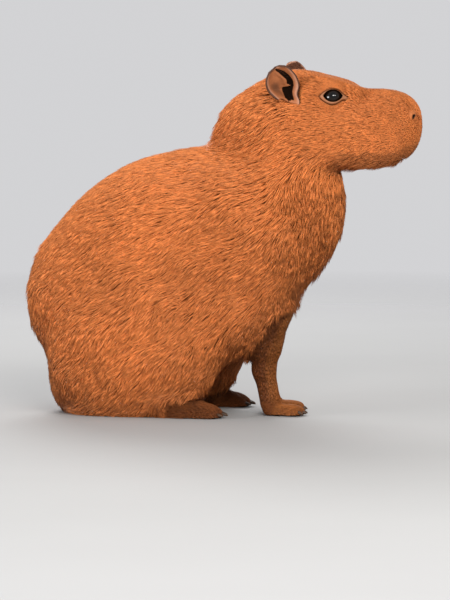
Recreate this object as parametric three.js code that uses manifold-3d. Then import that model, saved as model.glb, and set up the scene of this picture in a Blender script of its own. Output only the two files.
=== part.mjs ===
// A life-size capybara that sits on its haunches, its forelegs straight and its head level.
// Millimetres, +X to the nose, +Y to its left, +Z up, with the floor at z = 0.
import * as THREE from 'three';
import { mergeVertices } from 'three/addons/utils/BufferGeometryUtils.js';
import Module from 'manifold-3d';

const wasm = await Module();
wasm.setup();

// The coat: its depth over the skin on each part of the body.
const BODY_COAT = 12;
const HEAD_COAT = 5;
const LEG_COAT = 3;
const LID_COAT = 1.5;

// The bristly coat in the solids: broad tapered locks that overlap along its lie, rooted in a
// core that fills this share of the coat's depth.
const CORE_SHARE = 0.45;
const LOCK_LENGTH = 150;
const LOCK_WIDTH = 92;
const LOCK_SPACING = 86;
const LOCK_TIP_RISE = 3;

// No lock grows on the underside or close to the floor.
const LOCK_LOWEST_SLOPE = -0.5;
const LOCK_LOWEST_ROOT = 60;
const LOCK_SEEDS = { chest: 5, rump: 2, neck: 3, left: 2, right: 3 };

// Neighbouring nodes meet face to face with this gap.
const GAP = 0.3;

// Edges shorter than this are merged away.
const SLIVER = 0.05;

// Grid cells of the body's faceted surface, finer where the form is finer.
const BODY_CELL = 36;
const NECK_CELL = 31;
const LEG_CELL = 14;
const HEAD_CELL = 12.5;
const FOOT_CELL = 11;

// The body's rounded masses, at the skin: centre, radii, squareness, pitch and blend.
const TRUNK = {
  barrel: mass([-140, 0, 275], [240, 148, 180], 2.1, 40, 0),
  rump: mass([-235, 0, 215], [131, 132, 132], 2, 0, 34),
  seat: mass([-200, 0, 72], [126, 128, 96], 2.4, 0, 34),
  chest: mass([68, 0, 345], [103, 105, 128], 2, 25, 50),
  breast: mass([137, 0, 388], [83, 80, 105], 2, 0, 40),
  brisket: mass([36, 0, 206], [66, 46, 84], 2, 30, 40),
  neck: mass([108, 0, 465], [90, 80, 118], 2, 0, 50),
  withers: mass([-16, 0, 438], [64, 64, 50], 2, 4, 50),
  nape: mass([80, 0, 542], [86, 62, 70], 2, 20, 40),
};
const SIDES = {
  haunch: mass([-150, 108, 118], [150, 64, 116], 2.2, 8, 50),
  knee: mass([-74, 114, 94], [66, 46, 62], 2.2, 25, 40),
  flank: mass([6, 80, 184], [80, 48, 72], 2, 35, 50),
  shoulder: mass([62, 76, 340], [85, 48, 110], 2, 20, 50),
};
const HEAD = {
  cranium: mass([166, 0, 578], [92, 58, 64], 2.2, -8, 40),
  muzzle: mass([279, 0, 543], [93, 45, 68], 2.4, 0, 35),
  jaw: mass([250, 0, 525], [80, 44, 38], 2.3, 0, 20),
};
const HEAD_SIDES = {
  cheek: mass([198, 41, 537], [88, 32, 55], 2.2, 0, 35),
  brow: mass([208, 42, 606], [44, 22, 24], 2, -8, 25),
  snout: mass([314, 20, 559], [50, 28, 44], 2.4, 0, 20),
  lip: mass([291, 22, 516], [56, 26, 30], 2.3, 9, 20),
};
const HEAD_BLEND = 34;

// Forelegs: the left one stands a little behind the right one.
const FORELEG_BACK = { left: 18, right: 0 };
const FORELEG = {
  shoulder: { at: [98, 60, 290], radius: 38 },
  elbow: { at: [96, 54, 200], radius: 33 },
  forearm: { at: [88, 49, 130], radius: 23 },
  wrist: { at: [85, 46, 85], radius: 17.5 },
  ankle: { at: [96, 46, 28], radius: 16.5 },
};
const FORE_PALM = mass([123, 46, 9], [36, 23, 11], 2.5, 0, 14);
const LEG_BLEND = 30;

// Hind feet lie flat under the knees.
const HIND_HEEL = { at: [-150, 114, 22], radius: 24 };
const HIND_INSTEP = { at: [-60, 126, 20], radius: 20 };
const HIND_SOLE = mass([-28, 130, 11], [42, 24, 14], 2.4, 0, 25);
const HIND_BLEND = 20;

// Eyes look sideways, set high and far back on the head.
const EYE_CENTRE = [218, 55, 600];
const EYE_RADIUS = 19;
const EYE_SEGMENTS = 14;
const EYE_AXIS = new THREE.Vector3(0.2, 0.96, 0.19).normalize();
const ORBIT_RADIUS = 22.5;
const ORBIT_BLEND = 12;
const LID_OPENING_LENGTH = 42;
const LID_OPENING_HEIGHT = 25;
const LID_OPENING_DEPTH = 8;

// Nostrils, mouth and cleft upper lip.
const NOSTRIL_CENTRE = [371, 32, 567];
const NOSTRIL_AXIS = new THREE.Vector3(0.87, 0.48, 0.12).normalize();
const NOSTRIL_HEIGHT = 14;
const NOSTRIL_WIDTH = 5;
const NOSTRIL_DEPTH = 9;
const MOUTH_LINE = [[410, 508], [367, 497], [335, 488], [308, 485], [290, 491]];
const MOUTH_WIDTH = 2.6;
const MOUTH_CORE = { at: [303, 0, 495], radii: [53, 34, 40] };
const LIP_CLEFT = { at: [386, 0, 514], size: [30, 2.8, 34] };

// Ears: small rounded cups on the upper sides of the head.
const EAR_ROOT = [134, 61, 590];
const EAR_HEIGHT = 75;
const EAR_SLANT = 9;
const EAR_FRONT = 31;
const EAR_REAR = 33;
const EAR_CUP = 17;
const EAR_THICK = 4;
const EAR_UP = new THREE.Vector3(-0.13, 0.42, 0.9).normalize();
const EAR_FACING = new THREE.Vector3(0.5, 0.86, 0);
const EAR_COLUMNS = 8;
const EAR_ROWS = 7;

// Toes: four on a forefoot, three on a hind foot, each with a stout claw.
const FORE_TOES = { count: 4, at: [136, 46, 7.5], spread: 33, fan: 24, size: [24, 8.5, 8], claw: 15 };
const HIND_TOES = { count: 3, at: [-6, 130, 8], spread: 32, fan: 18, size: [28, 10.5, 10.5], claw: 18 };
const TOE_SEGMENTS = 7;
const CLAW_WIDTH = 8;
const CLAW_HEIGHT = 7;

// The planes and the cylinder that part the nodes.
const HEAD_PLANE = { normal: [0.787, 0, 0.617], offset: 460 };
const NECK_PLANE = { normal: [0.625, 0, 0.781], offset: 362 };
const LOIN_PLANE = { normal: [0.95, 0, 0.31], offset: -45 };
const FORELEG_TOP = { normal: [0.762, 0, -0.648], offset: -35 };
const FORELEG_TOP_Z = 226;
const FORELEG_REAR_X = 42;
const FORELEG_SIDE_Y = 78;
const WRIST_Z = 44;
const THIGH_DISC = { at: [-140, 110], radius: 185 };
const THIGH_INNER_Y = 88;
const HIND_FOOT_PLANE = { normal: [0.478, 0, -0.878], offset: -44.9 };
const HIND_FOOT_INNER_Y = 96;
const FAR = 1500;

const COAT = { colour: 0xc57136, roughness: 0.85 };
const LEG_COLOUR = { colour: 0x6a3818, roughness: 0.8 };
const EAR_COLOUR = { colour: 0x7b5238, roughness: 0.7 };
const EYE_COLOUR = { colour: 0x120a06, roughness: 0.08 };

// One rounded mass: an ellipsoid, squarer where its power is over 2, its front end pitched up.
function mass(centre, radii, power, pitch, blend) {
  const angle = THREE.MathUtils.degToRad(pitch);
  return { centre, radii, power, cos: Math.cos(angle), sin: Math.sin(angle), blend };
}

// Distance from a point to a mass, close to true near its surface.
function massDistance(m, x, y, z) {
  const dx = x - m.centre[0];
  const dz = z - m.centre[2];
  const q = [
    Math.abs(m.cos * dx + m.sin * dz) / m.radii[0] + 1e-6,
    Math.abs(y - m.centre[1]) / m.radii[1] + 1e-6,
    Math.abs(m.cos * dz - m.sin * dx) / m.radii[2] + 1e-6,
  ];
  const powers = q.map((v) => v ** (m.power - 1));
  const sum = q[0] * powers[0] + q[1] * powers[1] + q[2] * powers[2];
  const reach = sum ** (1 / m.power);
  const slope = Math.hypot(powers[0] / m.radii[0], powers[1] / m.radii[1], powers[2] / m.radii[2]);
  return ((reach - 1) * reach ** (m.power - 1)) / slope;
}

// Distance from a point to a cone with round ends, which joins two balls of the leg.
function coneDistance(start, end, x, y, z) {
  const axis = end.at.map((v, i) => v - start.at[i]);
  const from = [x - start.at[0], y - start.at[1], z - start.at[2]];
  const lengthSquared = axis.reduce((s, v) => s + v * v, 0);
  const taper = start.radius - end.radius;
  const reach = lengthSquared - taper * taper;
  const along = from.reduce((s, v, i) => s + v * axis[i], 0);
  const past = along - lengthSquared;
  const across = from.reduce((s, v, i) => s + (v * lengthSquared - along * axis[i]) ** 2, 0);
  const edge = Math.sign(taper) * taper * taper * across;
  const alongSquared = along * along * lengthSquared;
  const pastSquared = past * past * lengthSquared;
  if (Math.sign(past) * reach * pastSquared > edge) {
    return Math.sqrt(across + pastSquared) / lengthSquared - end.radius;
  }
  if (Math.sign(along) * reach * alongSquared < edge) {
    return Math.sqrt(across + alongSquared) / lengthSquared - start.radius;
  }
  return (Math.sqrt((across * reach) / lengthSquared) + along * taper) / lengthSquared - start.radius;
}

// Two forms flow into each other over the width of the blend.
function melt(a, b, blend) {
  if (blend === 0) return Math.min(a, b);
  const h = Math.max(blend - Math.abs(a - b), 0) / blend;
  return Math.min(a, b) - (h * h * blend) / 4;
}

function smooth(low, high, value) {
  return THREE.MathUtils.smoothstep(value, low, high);
}

function forelegDistance(x, side, y, z) {
  const moved = x + FORELEG_BACK[side];
  let d = coneDistance(FORELEG.shoulder, FORELEG.elbow, moved, y, z);
  d = melt(d, coneDistance(FORELEG.elbow, FORELEG.forearm, moved, y, z), 20);
  d = melt(d, coneDistance(FORELEG.forearm, FORELEG.wrist, moved, y, z), 20);
  d = melt(d, coneDistance(FORELEG.wrist, FORELEG.ankle, moved, y, z), 14);
  return melt(d, massDistance(FORE_PALM, moved, y, z), FORE_PALM.blend);
}

function hindFootDistance(x, y, z) {
  const shank = coneDistance(HIND_HEEL, HIND_INSTEP, x, y, z);
  return melt(shank, massDistance(HIND_SOLE, x, y, z), HIND_SOLE.blend);
}

function eyeDistance(x, y, z) {
  return Math.hypot(x - EYE_CENTRE[0], y - EYE_CENTRE[1], z - EYE_CENTRE[2]);
}

function headDistance(x, y, z) {
  let d = Infinity;
  for (const m of Object.values(HEAD)) d = melt(d, massDistance(m, x, Math.abs(y), z), m.blend);
  for (const m of Object.values(HEAD_SIDES)) d = melt(d, massDistance(m, x, Math.abs(y), z), m.blend);
  return melt(d, eyeDistance(x, Math.abs(y), z) - ORBIT_RADIUS, ORBIT_BLEND);
}

// Distance from a point to the animal's skin, negative inside.
function skinDistance(x, y, z) {
  const side = y > 0 ? 'left' : 'right';
  const wide = Math.abs(y);
  let d = Infinity;
  for (const m of Object.values(TRUNK)) d = melt(d, massDistance(m, x, wide, z), m.blend);
  for (const m of Object.values(SIDES)) d = melt(d, massDistance(m, x, wide, z), m.blend);
  d = melt(d, headDistance(x, y, z), HEAD_BLEND);
  d = melt(d, forelegDistance(x, side, wide, z), LEG_BLEND);
  return melt(d, hindFootDistance(x, wide, z), HIND_BLEND);
}

// Depth of the coat at a point: long on the body, short on the head, legs and lids.
function coatDepth(x, y, z) {
  const head = smooth(120, 230, x) * smooth(440, 520, z);
  const leg = smooth(-60, 40, x) * (1 - smooth(60, 190, z));
  const lid = 1 - smooth(ORBIT_RADIUS, ORBIT_RADIUS + 16, eyeDistance(x, Math.abs(y), z));
  const depth = THREE.MathUtils.lerp(BODY_COAT, HEAD_COAT, head);
  return THREE.MathUtils.lerp(THREE.MathUtils.lerp(depth, LEG_COAT, leg), LID_COAT, lid);
}

function coatDistance(x, y, z) {
  return skinDistance(x, y, z) - coatDepth(x, y, z);
}

// Distance to the core that carries the locks.
function coreDistance(x, y, z) {
  return skinDistance(x, y, z) - CORE_SHARE * coatDepth(x, y, z);
}

// The way the hair lies: back along the head and trunk, down the throat, breast and thighs.
function lie(x, y, z) {
  const front = smooth(60, 180, x) * (1 - smooth(440, 540, z));
  const low = 1 - smooth(120, 330, z);
  const back = new THREE.Vector3(-0.8, 0, -0.6 - 0.5 * low);
  return back.lerp(new THREE.Vector3(-0.25, 0, -1), front).normalize();
}

// Closed triangle mesh of the surface where a distance is zero, by surface nets on a grid,
// with each vertex then moved onto the surface.
function polygonise(distance, low, high, cell) {
  const count = low.map((v, i) => Math.ceil((high[i] - v) / cell) + 1);
  const index = (i, j, k) => (i * count[1] + j) * count[2] + k;
  const values = new Float64Array(count[0] * count[1] * count[2]);
  for (let i = 0; i < count[0]; i += 1) {
    for (let j = 0; j < count[1]; j += 1) {
      for (let k = 0; k < count[2]; k += 1) {
        values[index(i, j, k)] = distance(low[0] + i * cell, low[1] + j * cell, low[2] + k * cell);
      }
    }
  }
  const vertexOf = new Map();
  const positions = [];
  for (let i = 0; i + 1 < count[0]; i += 1) {
    for (let j = 0; j + 1 < count[1]; j += 1) {
      for (let k = 0; k + 1 < count[2]; k += 1) {
        const centre = cellCentre(values, index, i, j, k);
        if (!centre) continue;
        vertexOf.set(index(i, j, k), positions.length / 3);
        const start = centre.map((v, a) => low[a] + v * cell);
        positions.push(...ontoSurface(distance, start, cell));
      }
    }
  }
  const faces = [];
  for (let i = 1; i + 1 < count[0]; i += 1) {
    for (let j = 1; j + 1 < count[1]; j += 1) {
      for (let k = 1; k + 1 < count[2]; k += 1) {
        const here = values[index(i, j, k)] < 0;
        const cells = [
          [values[index(i + 1, j, k)] < 0, [i, j, k], [i, j - 1, k], [i, j - 1, k - 1], [i, j, k - 1]],
          [values[index(i, j + 1, k)] < 0, [i, j, k], [i, j, k - 1], [i - 1, j, k - 1], [i - 1, j, k]],
          [values[index(i, j, k + 1)] < 0, [i, j, k], [i - 1, j, k], [i - 1, j - 1, k], [i, j - 1, k]],
        ];
        for (const [there, ...corners] of cells) {
          if (there === here) continue;
          const quad = corners.map((c) => vertexOf.get(index(...c)));
          if (!here) quad.reverse();
          faces.push(...splitQuad(quad, positions));
        }
      }
    }
  }
  const geometry = new THREE.BufferGeometry();
  geometry.setAttribute('position', new THREE.Float32BufferAttribute(positions, 3));
  geometry.setIndex(faces);
  return geometry;
}

// Mean of the points where a cell's edges cross the surface, or null where none does.
function cellCentre(values, index, i, j, k) {
  const sum = [0, 0, 0];
  let crossings = 0;
  for (let corner = 0; corner < 8; corner += 1) {
    const start = [corner & 1, (corner >> 1) & 1, corner >> 2];
    for (let axis = 0; axis < 3; axis += 1) {
      if (start[axis] === 1) continue;
      const end = [...start];
      end[axis] = 1;
      const a = values[index(i + start[0], j + start[1], k + start[2])];
      const b = values[index(i + end[0], j + end[1], k + end[2])];
      if (a < 0 === b < 0) continue;
      const point = [...start];
      point[axis] = a / (a - b);
      point.forEach((v, n) => { sum[n] += v; });
      crossings += 1;
    }
  }
  if (crossings === 0) return null;
  return [i + sum[0] / crossings, j + sum[1] / crossings, k + sum[2] / crossings];
}

function ontoSurface(distance, start, cell) {
  const point = [...start];
  for (let round = 0; round < 3; round += 1) {
    const value = distance(...point);
    const slope = gradient(distance, point);
    const steep = slope.reduce((s, v) => s + v * v, 0);
    if (steep < 0.05) break;
    const step = THREE.MathUtils.clamp(value / steep, -cell / 4, cell / 4);
    slope.forEach((v, n) => { point[n] -= v * step; });
  }
  return point;
}

function gradient(distance, point) {
  const h = 0.5;
  return [0, 1, 2].map((axis) => {
    const ahead = [...point];
    const behind = [...point];
    ahead[axis] += h;
    behind[axis] -= h;
    return (distance(...ahead) - distance(...behind)) / (2 * h);
  });
}

// Two triangles of a quad, cut along its shorter diagonal.
function splitQuad(quad, positions) {
  const apart = (a, b) => Math.hypot(
    positions[3 * a] - positions[3 * b],
    positions[3 * a + 1] - positions[3 * b + 1],
    positions[3 * a + 2] - positions[3 * b + 2],
  );
  const [a, b, c, d] = quad;
  if (apart(a, c) <= apart(b, d)) return [a, b, c, a, c, d];
  return [a, b, d, b, c, d];
}

function solid(geometry) {
  const bare = geometry.clone();
  bare.deleteAttribute('normal');
  bare.deleteAttribute('uv');
  const merged = mergeVertices(bare, 1e-4);
  const vertProperties = new Float32Array(merged.attributes.position.array);
  const triVerts = new Uint32Array(merged.index.array);
  return new wasm.Manifold(new wasm.Mesh({ numProp: 3, vertProperties, triVerts }));
}

function geometryOf(body) {
  const mesh = body.getMesh();
  const geometry = new THREE.BufferGeometry();
  geometry.setAttribute('position', new THREE.BufferAttribute(new Float32Array(mesh.vertProperties), 3));
  geometry.setIndex(new THREE.BufferAttribute(new Uint32Array(mesh.triVerts), 1));
  return geometry;
}

// The node's largest closed surface, without slivers: a sealed hollow fills, a loose scrap drops.
function largest(body) {
  const clean = body.simplify(SLIVER);
  return clean.decompose().reduce((a, b) => (a.volume() > b.volume() ? a : b));
}

function unite(bodies) {
  return bodies.reduce((a, b) => a.add(b));
}

// Everything beyond a plane, on the side that its normal points to.
function beyond(normal, offset) {
  const box = new THREE.BoxGeometry(2 * FAR, 2 * FAR, 2 * FAR);
  const direction = new THREE.Vector3(...normal).normalize();
  box.applyQuaternion(new THREE.Quaternion().setFromUnitVectors(new THREE.Vector3(1, 0, 0), direction));
  const shift = direction.multiplyScalar(offset + FAR);
  return solid(box.translate(shift.x, shift.y, shift.z));
}

function before(normal, offset) {
  return beyond(normal.map((v) => -v), -offset);
}

function common(bodies) {
  return bodies.reduce((a, b) => a.intersect(b));
}

// Both halves of a thin cut: the side of the normal, and the other side past the gap.
function above(plane, grow = 0) {
  return beyond(plane.normal, plane.offset + GAP / 2 - grow);
}

function below(plane, grow = 0) {
  return before(plane.normal, plane.offset - GAP / 2 + grow);
}

const SIDE_SIGN = { left: 1, right: -1 };

// The space of one foreleg, or of one thigh or hind foot, a little larger where grow is over 0.
function forelegSpace(sign, grow) {
  return common([
    beyond(FORELEG_TOP.normal, FORELEG_TOP.offset - grow),
    before([0, 0, 1], FORELEG_TOP_Z + grow),
    beyond([1, 0, 0], FORELEG_REAR_X - grow),
    beyond([0, sign, 0], -grow),
    before([0, sign, 0], FORELEG_SIDE_Y + grow),
  ]);
}

function hindFootSpace(sign, grow) {
  return common([
    beyond(HIND_FOOT_PLANE.normal, HIND_FOOT_PLANE.offset - grow),
    before([1, 0, 0], FORELEG_REAR_X - 2 * GAP),
    beyond([0, sign, 0], HIND_FOOT_INNER_Y - grow),
  ]);
}

function thighSpace(sign, grow) {
  const disc = new THREE.CylinderGeometry(THIGH_DISC.radius + grow, THIGH_DISC.radius + grow, FAR, 40);
  const inner = THIGH_INNER_Y - grow;
  disc.translate(THIGH_DISC.at[0], sign * (inner + FAR / 2), THIGH_DISC.at[1]);
  return solid(disc);
}

const floor = beyond([0, 0, 1], 0);

// The body's surface inside a box, closed at the box's own walls.
function fleshIn(low, high, cell, distance = coatDistance) {
  const wall = cell * 1.2;
  const boxed = (x, y, z) => Math.max(
    distance(x, y, z),
    low[0] + wall - x,
    x - high[0] + wall,
    low[1] + wall - y,
    y - high[1] + wall,
    low[2] + wall - z,
    z - high[2] + wall,
  );
  return solid(polygonise(boxed, low, high, cell));
}

// The trunk in two nodes, which part at the loin.
function trunk(space, low, high, seed) {
  const core = fleshIn(low, high, BODY_CELL, coreDistance);
  const body = furred(common([core, ...space]), seed);
  const others = [1, -1].flatMap((sign) => [
    forelegSpace(sign, GAP),
    thighSpace(sign, GAP),
    hindFootSpace(sign, GAP),
  ]);
  return largest(others.reduce((a, b) => a.subtract(b), common([body, ...space, floor])));
}

function chest() {
  return trunk([above(LOIN_PLANE), below(NECK_PLANE)], [-280, -220, -60], [300, 220, 620], LOCK_SEEDS.chest);
}

function rump() {
  return trunk([below(LOIN_PLANE), below(NECK_PLANE)], [-440, -220, -60], [40, 220, 620], LOCK_SEEDS.rump);
}

function neck() {
  const core = fleshIn([-100, -170, 260], [320, 170, 720], NECK_CELL, coreDistance);
  const body = common([core, above(NECK_PLANE), below(HEAD_PLANE)]);
  return largest(common([furred(body, LOCK_SEEDS.neck), above(NECK_PLANE), below(HEAD_PLANE)]));
}

function thigh(sign) {
  const low = [-400, sign > 0 ? 50 : -240, -50];
  const high = [100, sign > 0 ? 240 : -50, 340];
  const core = fleshIn(low, high, NECK_CELL, coreDistance);
  const seed = sign > 0 ? LOCK_SEEDS.left : LOCK_SEEDS.right;
  const body = furred(common([core, thighSpace(sign, 0)]), seed);
  return largest(common([body, thighSpace(sign, 0), floor]).subtract(hindFootSpace(sign, GAP)));
}

function foreleg(sign) {
  const low = [20, sign > 0 ? -20 : -120, 20];
  const high = [220, sign > 0 ? 120 : 20, 300];
  const body = fleshIn(low, high, LEG_CELL);
  const wrist = { normal: [0, 0, 1], offset: WRIST_Z };
  return largest(common([body, forelegSpace(sign, 0), above(wrist), beyond([0, sign, 0], GAP / 2)]));
}

function forefoot(sign) {
  const back = FORELEG_BACK[sign > 0 ? 'left' : 'right'];
  const low = [40, sign > 0 ? 0 : -110, -20];
  const high = [190, sign > 0 ? 110 : 0, 80];
  const wrist = { normal: [0, 0, 1], offset: WRIST_Z };
  const palm = fleshIn(low, high, FOOT_CELL);
  const toes = toeSet(FORE_TOES, sign).translate([-back, 0, 0]);
  return largest(common([palm.add(toes), below(wrist), beyond([1, 0, 0], FORELEG_REAR_X), floor]));
}

function hindFoot(sign) {
  const low = [-140, sign > 0 ? 80 : -190, -20];
  const high = [60, sign > 0 ? 190 : -80, 100];
  const sole = common([fleshIn(low, high, FOOT_CELL + 2), hindFootSpace(sign, 0)]);
  return largest(common([sole.add(toeSet(HIND_TOES, sign)), floor]));
}

// Toes fanned across the front of a foot, each a rounded pad with a claw sunk in its end.
function toeSet(toes, sign) {
  const middle = (toes.count - 1) / 2;
  const pieces = [];
  for (let n = 0; n < toes.count; n += 1) {
    const place = (n - middle) / middle;
    const inner = 1 - 0.16 * place * place;
    const toe = new THREE.Group();
    toe.position.set(toes.at[0], sign * (toes.at[1] + (place * toes.spread) / 2), toes.at[2]);
    toe.rotation.z = sign * place * THREE.MathUtils.degToRad(toes.fan / 2);
    toe.updateMatrixWorld();
    const pad = new THREE.SphereGeometry(1, TOE_SEGMENTS, TOE_SEGMENTS - 2);
    pad.scale(toes.size[0] * inner, toes.size[1], toes.size[2]);
    pieces.push(solid(pad.applyMatrix4(toe.matrixWorld)));
    const claw = clawGeometry(toes.claw);
    claw.translate(toes.size[0] * inner - 7, 0, 1);
    pieces.push(solid(claw.applyMatrix4(toe.matrixWorld)));
  }
  return unite(pieces);
}

// A blunt claw that bends down to its tip: rings of five points, closed at both ends.
function clawGeometry(length) {
  const rings = 3;
  const sides = 5;
  const positions = [];
  const faces = [];
  for (let ring = 0; ring < rings; ring += 1) {
    const along = ring / (rings - 1);
    const size = Math.sqrt(1 - 0.93 * along * along);
    for (let n = 0; n < sides; n += 1) {
      const angle = (2 * Math.PI * n) / sides;
      const y = (Math.cos(angle) * CLAW_WIDTH * size) / 2;
      const z = (Math.sin(angle) * CLAW_HEIGHT * size) / 2 - 3.5 * along * along;
      positions.push(along * length, y, z);
    }
  }
  for (let ring = 0; ring + 1 < rings; ring += 1) {
    for (let n = 0; n < sides; n += 1) {
      const a = ring * sides + n;
      const b = ring * sides + ((n + 1) % sides);
      faces.push(a, b, a + sides, b, b + sides, a + sides);
    }
  }
  const last = (rings - 1) * sides;
  for (let n = 1; n + 1 < sides; n += 1) {
    faces.push(0, n + 1, n);
    faces.push(last, last + n, last + n + 1);
  }
  const geometry = new THREE.BufferGeometry();
  geometry.setAttribute('position', new THREE.Float32BufferAttribute(positions, 3));
  geometry.setIndex(faces);
  return geometry;
}

// A turn that takes +Z to the given axis with +Y as near upright as it can be.
function facing(axis) {
  const side = new THREE.Vector3(0, 0, 1).cross(axis).normalize();
  const up = axis.clone().cross(side);
  return new THREE.Matrix4().makeBasis(side, up, axis);
}

function mirrored(vector, sign) {
  return new THREE.Vector3(vector.x, sign * vector.y, vector.z);
}

// A lens-shaped prism, wide between its two corners, from a depth outwards along an axis.
function lensCut(centre, axis, sign, length, height, start, depth, lean) {
  const lens = new THREE.Shape();
  lens.moveTo(-length / 2, 0);
  lens.quadraticCurveTo(0, height, length / 2, 0);
  lens.quadraticCurveTo(0, -height, -length / 2, 0);
  const prism = new THREE.ExtrudeGeometry(lens, { depth, bevelEnabled: false, curveSegments: 7 });
  prism.rotateZ(lean);
  prism.translate(0, 0, start);
  prism.applyMatrix4(facing(mirrored(axis, sign)));
  return solid(prism.translate(centre[0], sign * centre[1], centre[2]));
}

function ball(centre, radii, segments) {
  const sphere = new THREE.SphereGeometry(1, segments, Math.round(segments * 0.7));
  sphere.scale(...radii);
  return solid(sphere.translate(...centre));
}

// The slit of the mouth, which runs round the front of the muzzle from corner to corner.
function mouthCut() {
  const line = new THREE.SplineCurve(MOUTH_LINE.map((p) => new THREE.Vector2(...p)));
  const points = line.getPoints(8);
  const upper = points.map((p) => new THREE.Vector2(p.x, p.y + MOUTH_WIDTH / 2));
  const lower = points.map((p) => new THREE.Vector2(p.x, p.y - MOUTH_WIDTH / 2)).reverse();
  const width = 200;
  const slit = new THREE.ExtrudeGeometry(new THREE.Shape([...upper, ...lower]), {
    depth: width,
    bevelEnabled: false,
  });
  slit.rotateX(Math.PI / 2);
  slit.translate(0, width / 2, 0);
  return solid(slit).subtract(ball(MOUTH_CORE.at, MOUTH_CORE.radii, 18));
}

function head() {
  const flesh = fleshIn([40, -110, 420], [420, 110, 700], HEAD_CELL);
  let body = common([flesh, above(HEAD_PLANE)]);
  for (const sign of [1, -1]) {
    const centre = [EYE_CENTRE[0], sign * EYE_CENTRE[1], EYE_CENTRE[2]];
    const socket = EYE_RADIUS + GAP;
    body = body.subtract(ball(centre, [socket, socket, socket], EYE_SEGMENTS));
    body = body.subtract(lensCut(
      EYE_CENTRE, EYE_AXIS, sign, LID_OPENING_LENGTH, LID_OPENING_HEIGHT, LID_OPENING_DEPTH, 30, 0,
    ));
    body = body.subtract(lensCut(
      NOSTRIL_CENTRE, NOSTRIL_AXIS, sign, NOSTRIL_HEIGHT, NOSTRIL_WIDTH, -NOSTRIL_DEPTH, 20, sign * 1.1,
    ));
  }
  const cleft = new THREE.BoxGeometry(...LIP_CLEFT.size).translate(...LIP_CLEFT.at);
  return largest(body.subtract(mouthCut()).subtract(solid(cleft)));
}

function eye(sign) {
  const centre = [EYE_CENTRE[0], sign * EYE_CENTRE[1], EYE_CENTRE[2]];
  return ball(centre, [EYE_RADIUS, EYE_RADIUS, EYE_RADIUS], EYE_SEGMENTS);
}

// One point of the ear's middle sheet: across runs from its rear rim to its front rim.
function earPoint(across, up) {
  const round = up > 0.5
    ? Math.sqrt(1 - ((up - 0.5) / 0.5) ** 2.2)
    : 0.6 + 0.4 * Math.sin(up * Math.PI);
  const width = across > 0 ? EAR_FRONT : EAR_REAR;
  const sunk = (1 - across * across) * (0.35 + 0.65 * (1 - up));
  const curl = 5 * Math.max(0, across - 0.5) * (1 - up);
  const height = EAR_HEIGHT * up - EAR_SLANT * across * (1 - up);
  return [width * across * round, height, curl - EAR_CUP * sunk];
}

// The ear: a cupped sheet of even thickness, with its root inside the head.
function earGeometry(sign) {
  const up = mirrored(EAR_UP, sign);
  const outward = mirrored(EAR_FACING, sign);
  outward.addScaledVector(up, -outward.dot(up)).normalize();
  const fore = sign > 0 ? outward.clone().cross(up) : up.clone().cross(outward);
  const place = ([a, b, c]) => new THREE.Vector3(EAR_ROOT[0], sign * EAR_ROOT[1], EAR_ROOT[2])
    .addScaledVector(fore, a).addScaledVector(up, b).addScaledVector(outward, c);
  const sheet = [];
  for (let row = 0; row <= EAR_ROWS; row += 1) {
    for (let column = 0; column <= EAR_COLUMNS; column += 1) {
      const across = (2 * column) / EAR_COLUMNS - 1;
      sheet.push(place(earPoint(across, (0.97 * row) / EAR_ROWS)));
    }
  }
  const wide = EAR_COLUMNS + 1;
  const positions = [];
  for (const face of [1, -1]) {
    sheet.forEach((point, n) => {
      const row = Math.floor(n / wide);
      const column = n % wide;
      const left = sheet[row * wide + Math.max(column - 1, 0)];
      const right = sheet[row * wide + Math.min(column + 1, EAR_COLUMNS)];
      const down = sheet[Math.max(row - 1, 0) * wide + column];
      const top = sheet[Math.min(row + 1, EAR_ROWS) * wide + column];
      const normal = right.clone().sub(left).cross(top.clone().sub(down)).normalize();
      const thick = EAR_THICK * (1 - (0.4 * row) / EAR_ROWS);
      const moved = point.clone().addScaledVector(normal, (face * thick) / 2);
      positions.push(moved.x, moved.y, moved.z);
    });
  }
  const geometry = new THREE.BufferGeometry();
  geometry.setAttribute('position', new THREE.Float32BufferAttribute(positions, 3));
  geometry.setIndex(sheetFaces(wide, EAR_ROWS + 1, sheet.length));
  return geometry;
}

// Faces of a closed sheet whose two sides are grids of the same size, joined round the rim.
function sheetFaces(wide, high, back) {
  const faces = [];
  const quad = (a, b, c, d) => faces.push(a, b, c, a, c, d);
  for (let row = 0; row + 1 < high; row += 1) {
    for (let column = 0; column + 1 < wide; column += 1) {
      const n = row * wide + column;
      const m = back + n;
      faces.push(n, n + 1, n + wide + 1, n, n + wide + 1, n + wide);
      faces.push(m, m + wide + 1, m + 1, m, m + wide, m + wide + 1);
    }
    const left = row * wide;
    const right = left + wide - 1;
    quad(left, left + wide, back + left + wide, back + left);
    quad(right, back + right, back + right + wide, right + wide);
  }
  for (let column = 0; column + 1 < wide; column += 1) {
    const top = (high - 1) * wide + column;
    quad(column, back + column, back + column + 1, column + 1);
    quad(top, top + 1, back + top + 1, back + top);
  }
  return faces;
}

function ear(sign) {
  const sheet = solid(earGeometry(sign));
  const low = [60, sign > 0 ? 10 : -120, 550];
  const high = [190, sign > 0 ? 120 : -10, 690];
  const clear = (x, y, z) => coatDistance(x, y, z) - 2 * GAP;
  return largest(sheet.subtract(fleshIn(low, high, HEAD_CELL, clear)));
}

function randomFrom(seed) {
  let state = seed;
  return () => {
    state = (state * 1664525 + 1013904223) % 4294967296;
    return state / 4294967296;
  };
}

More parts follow.
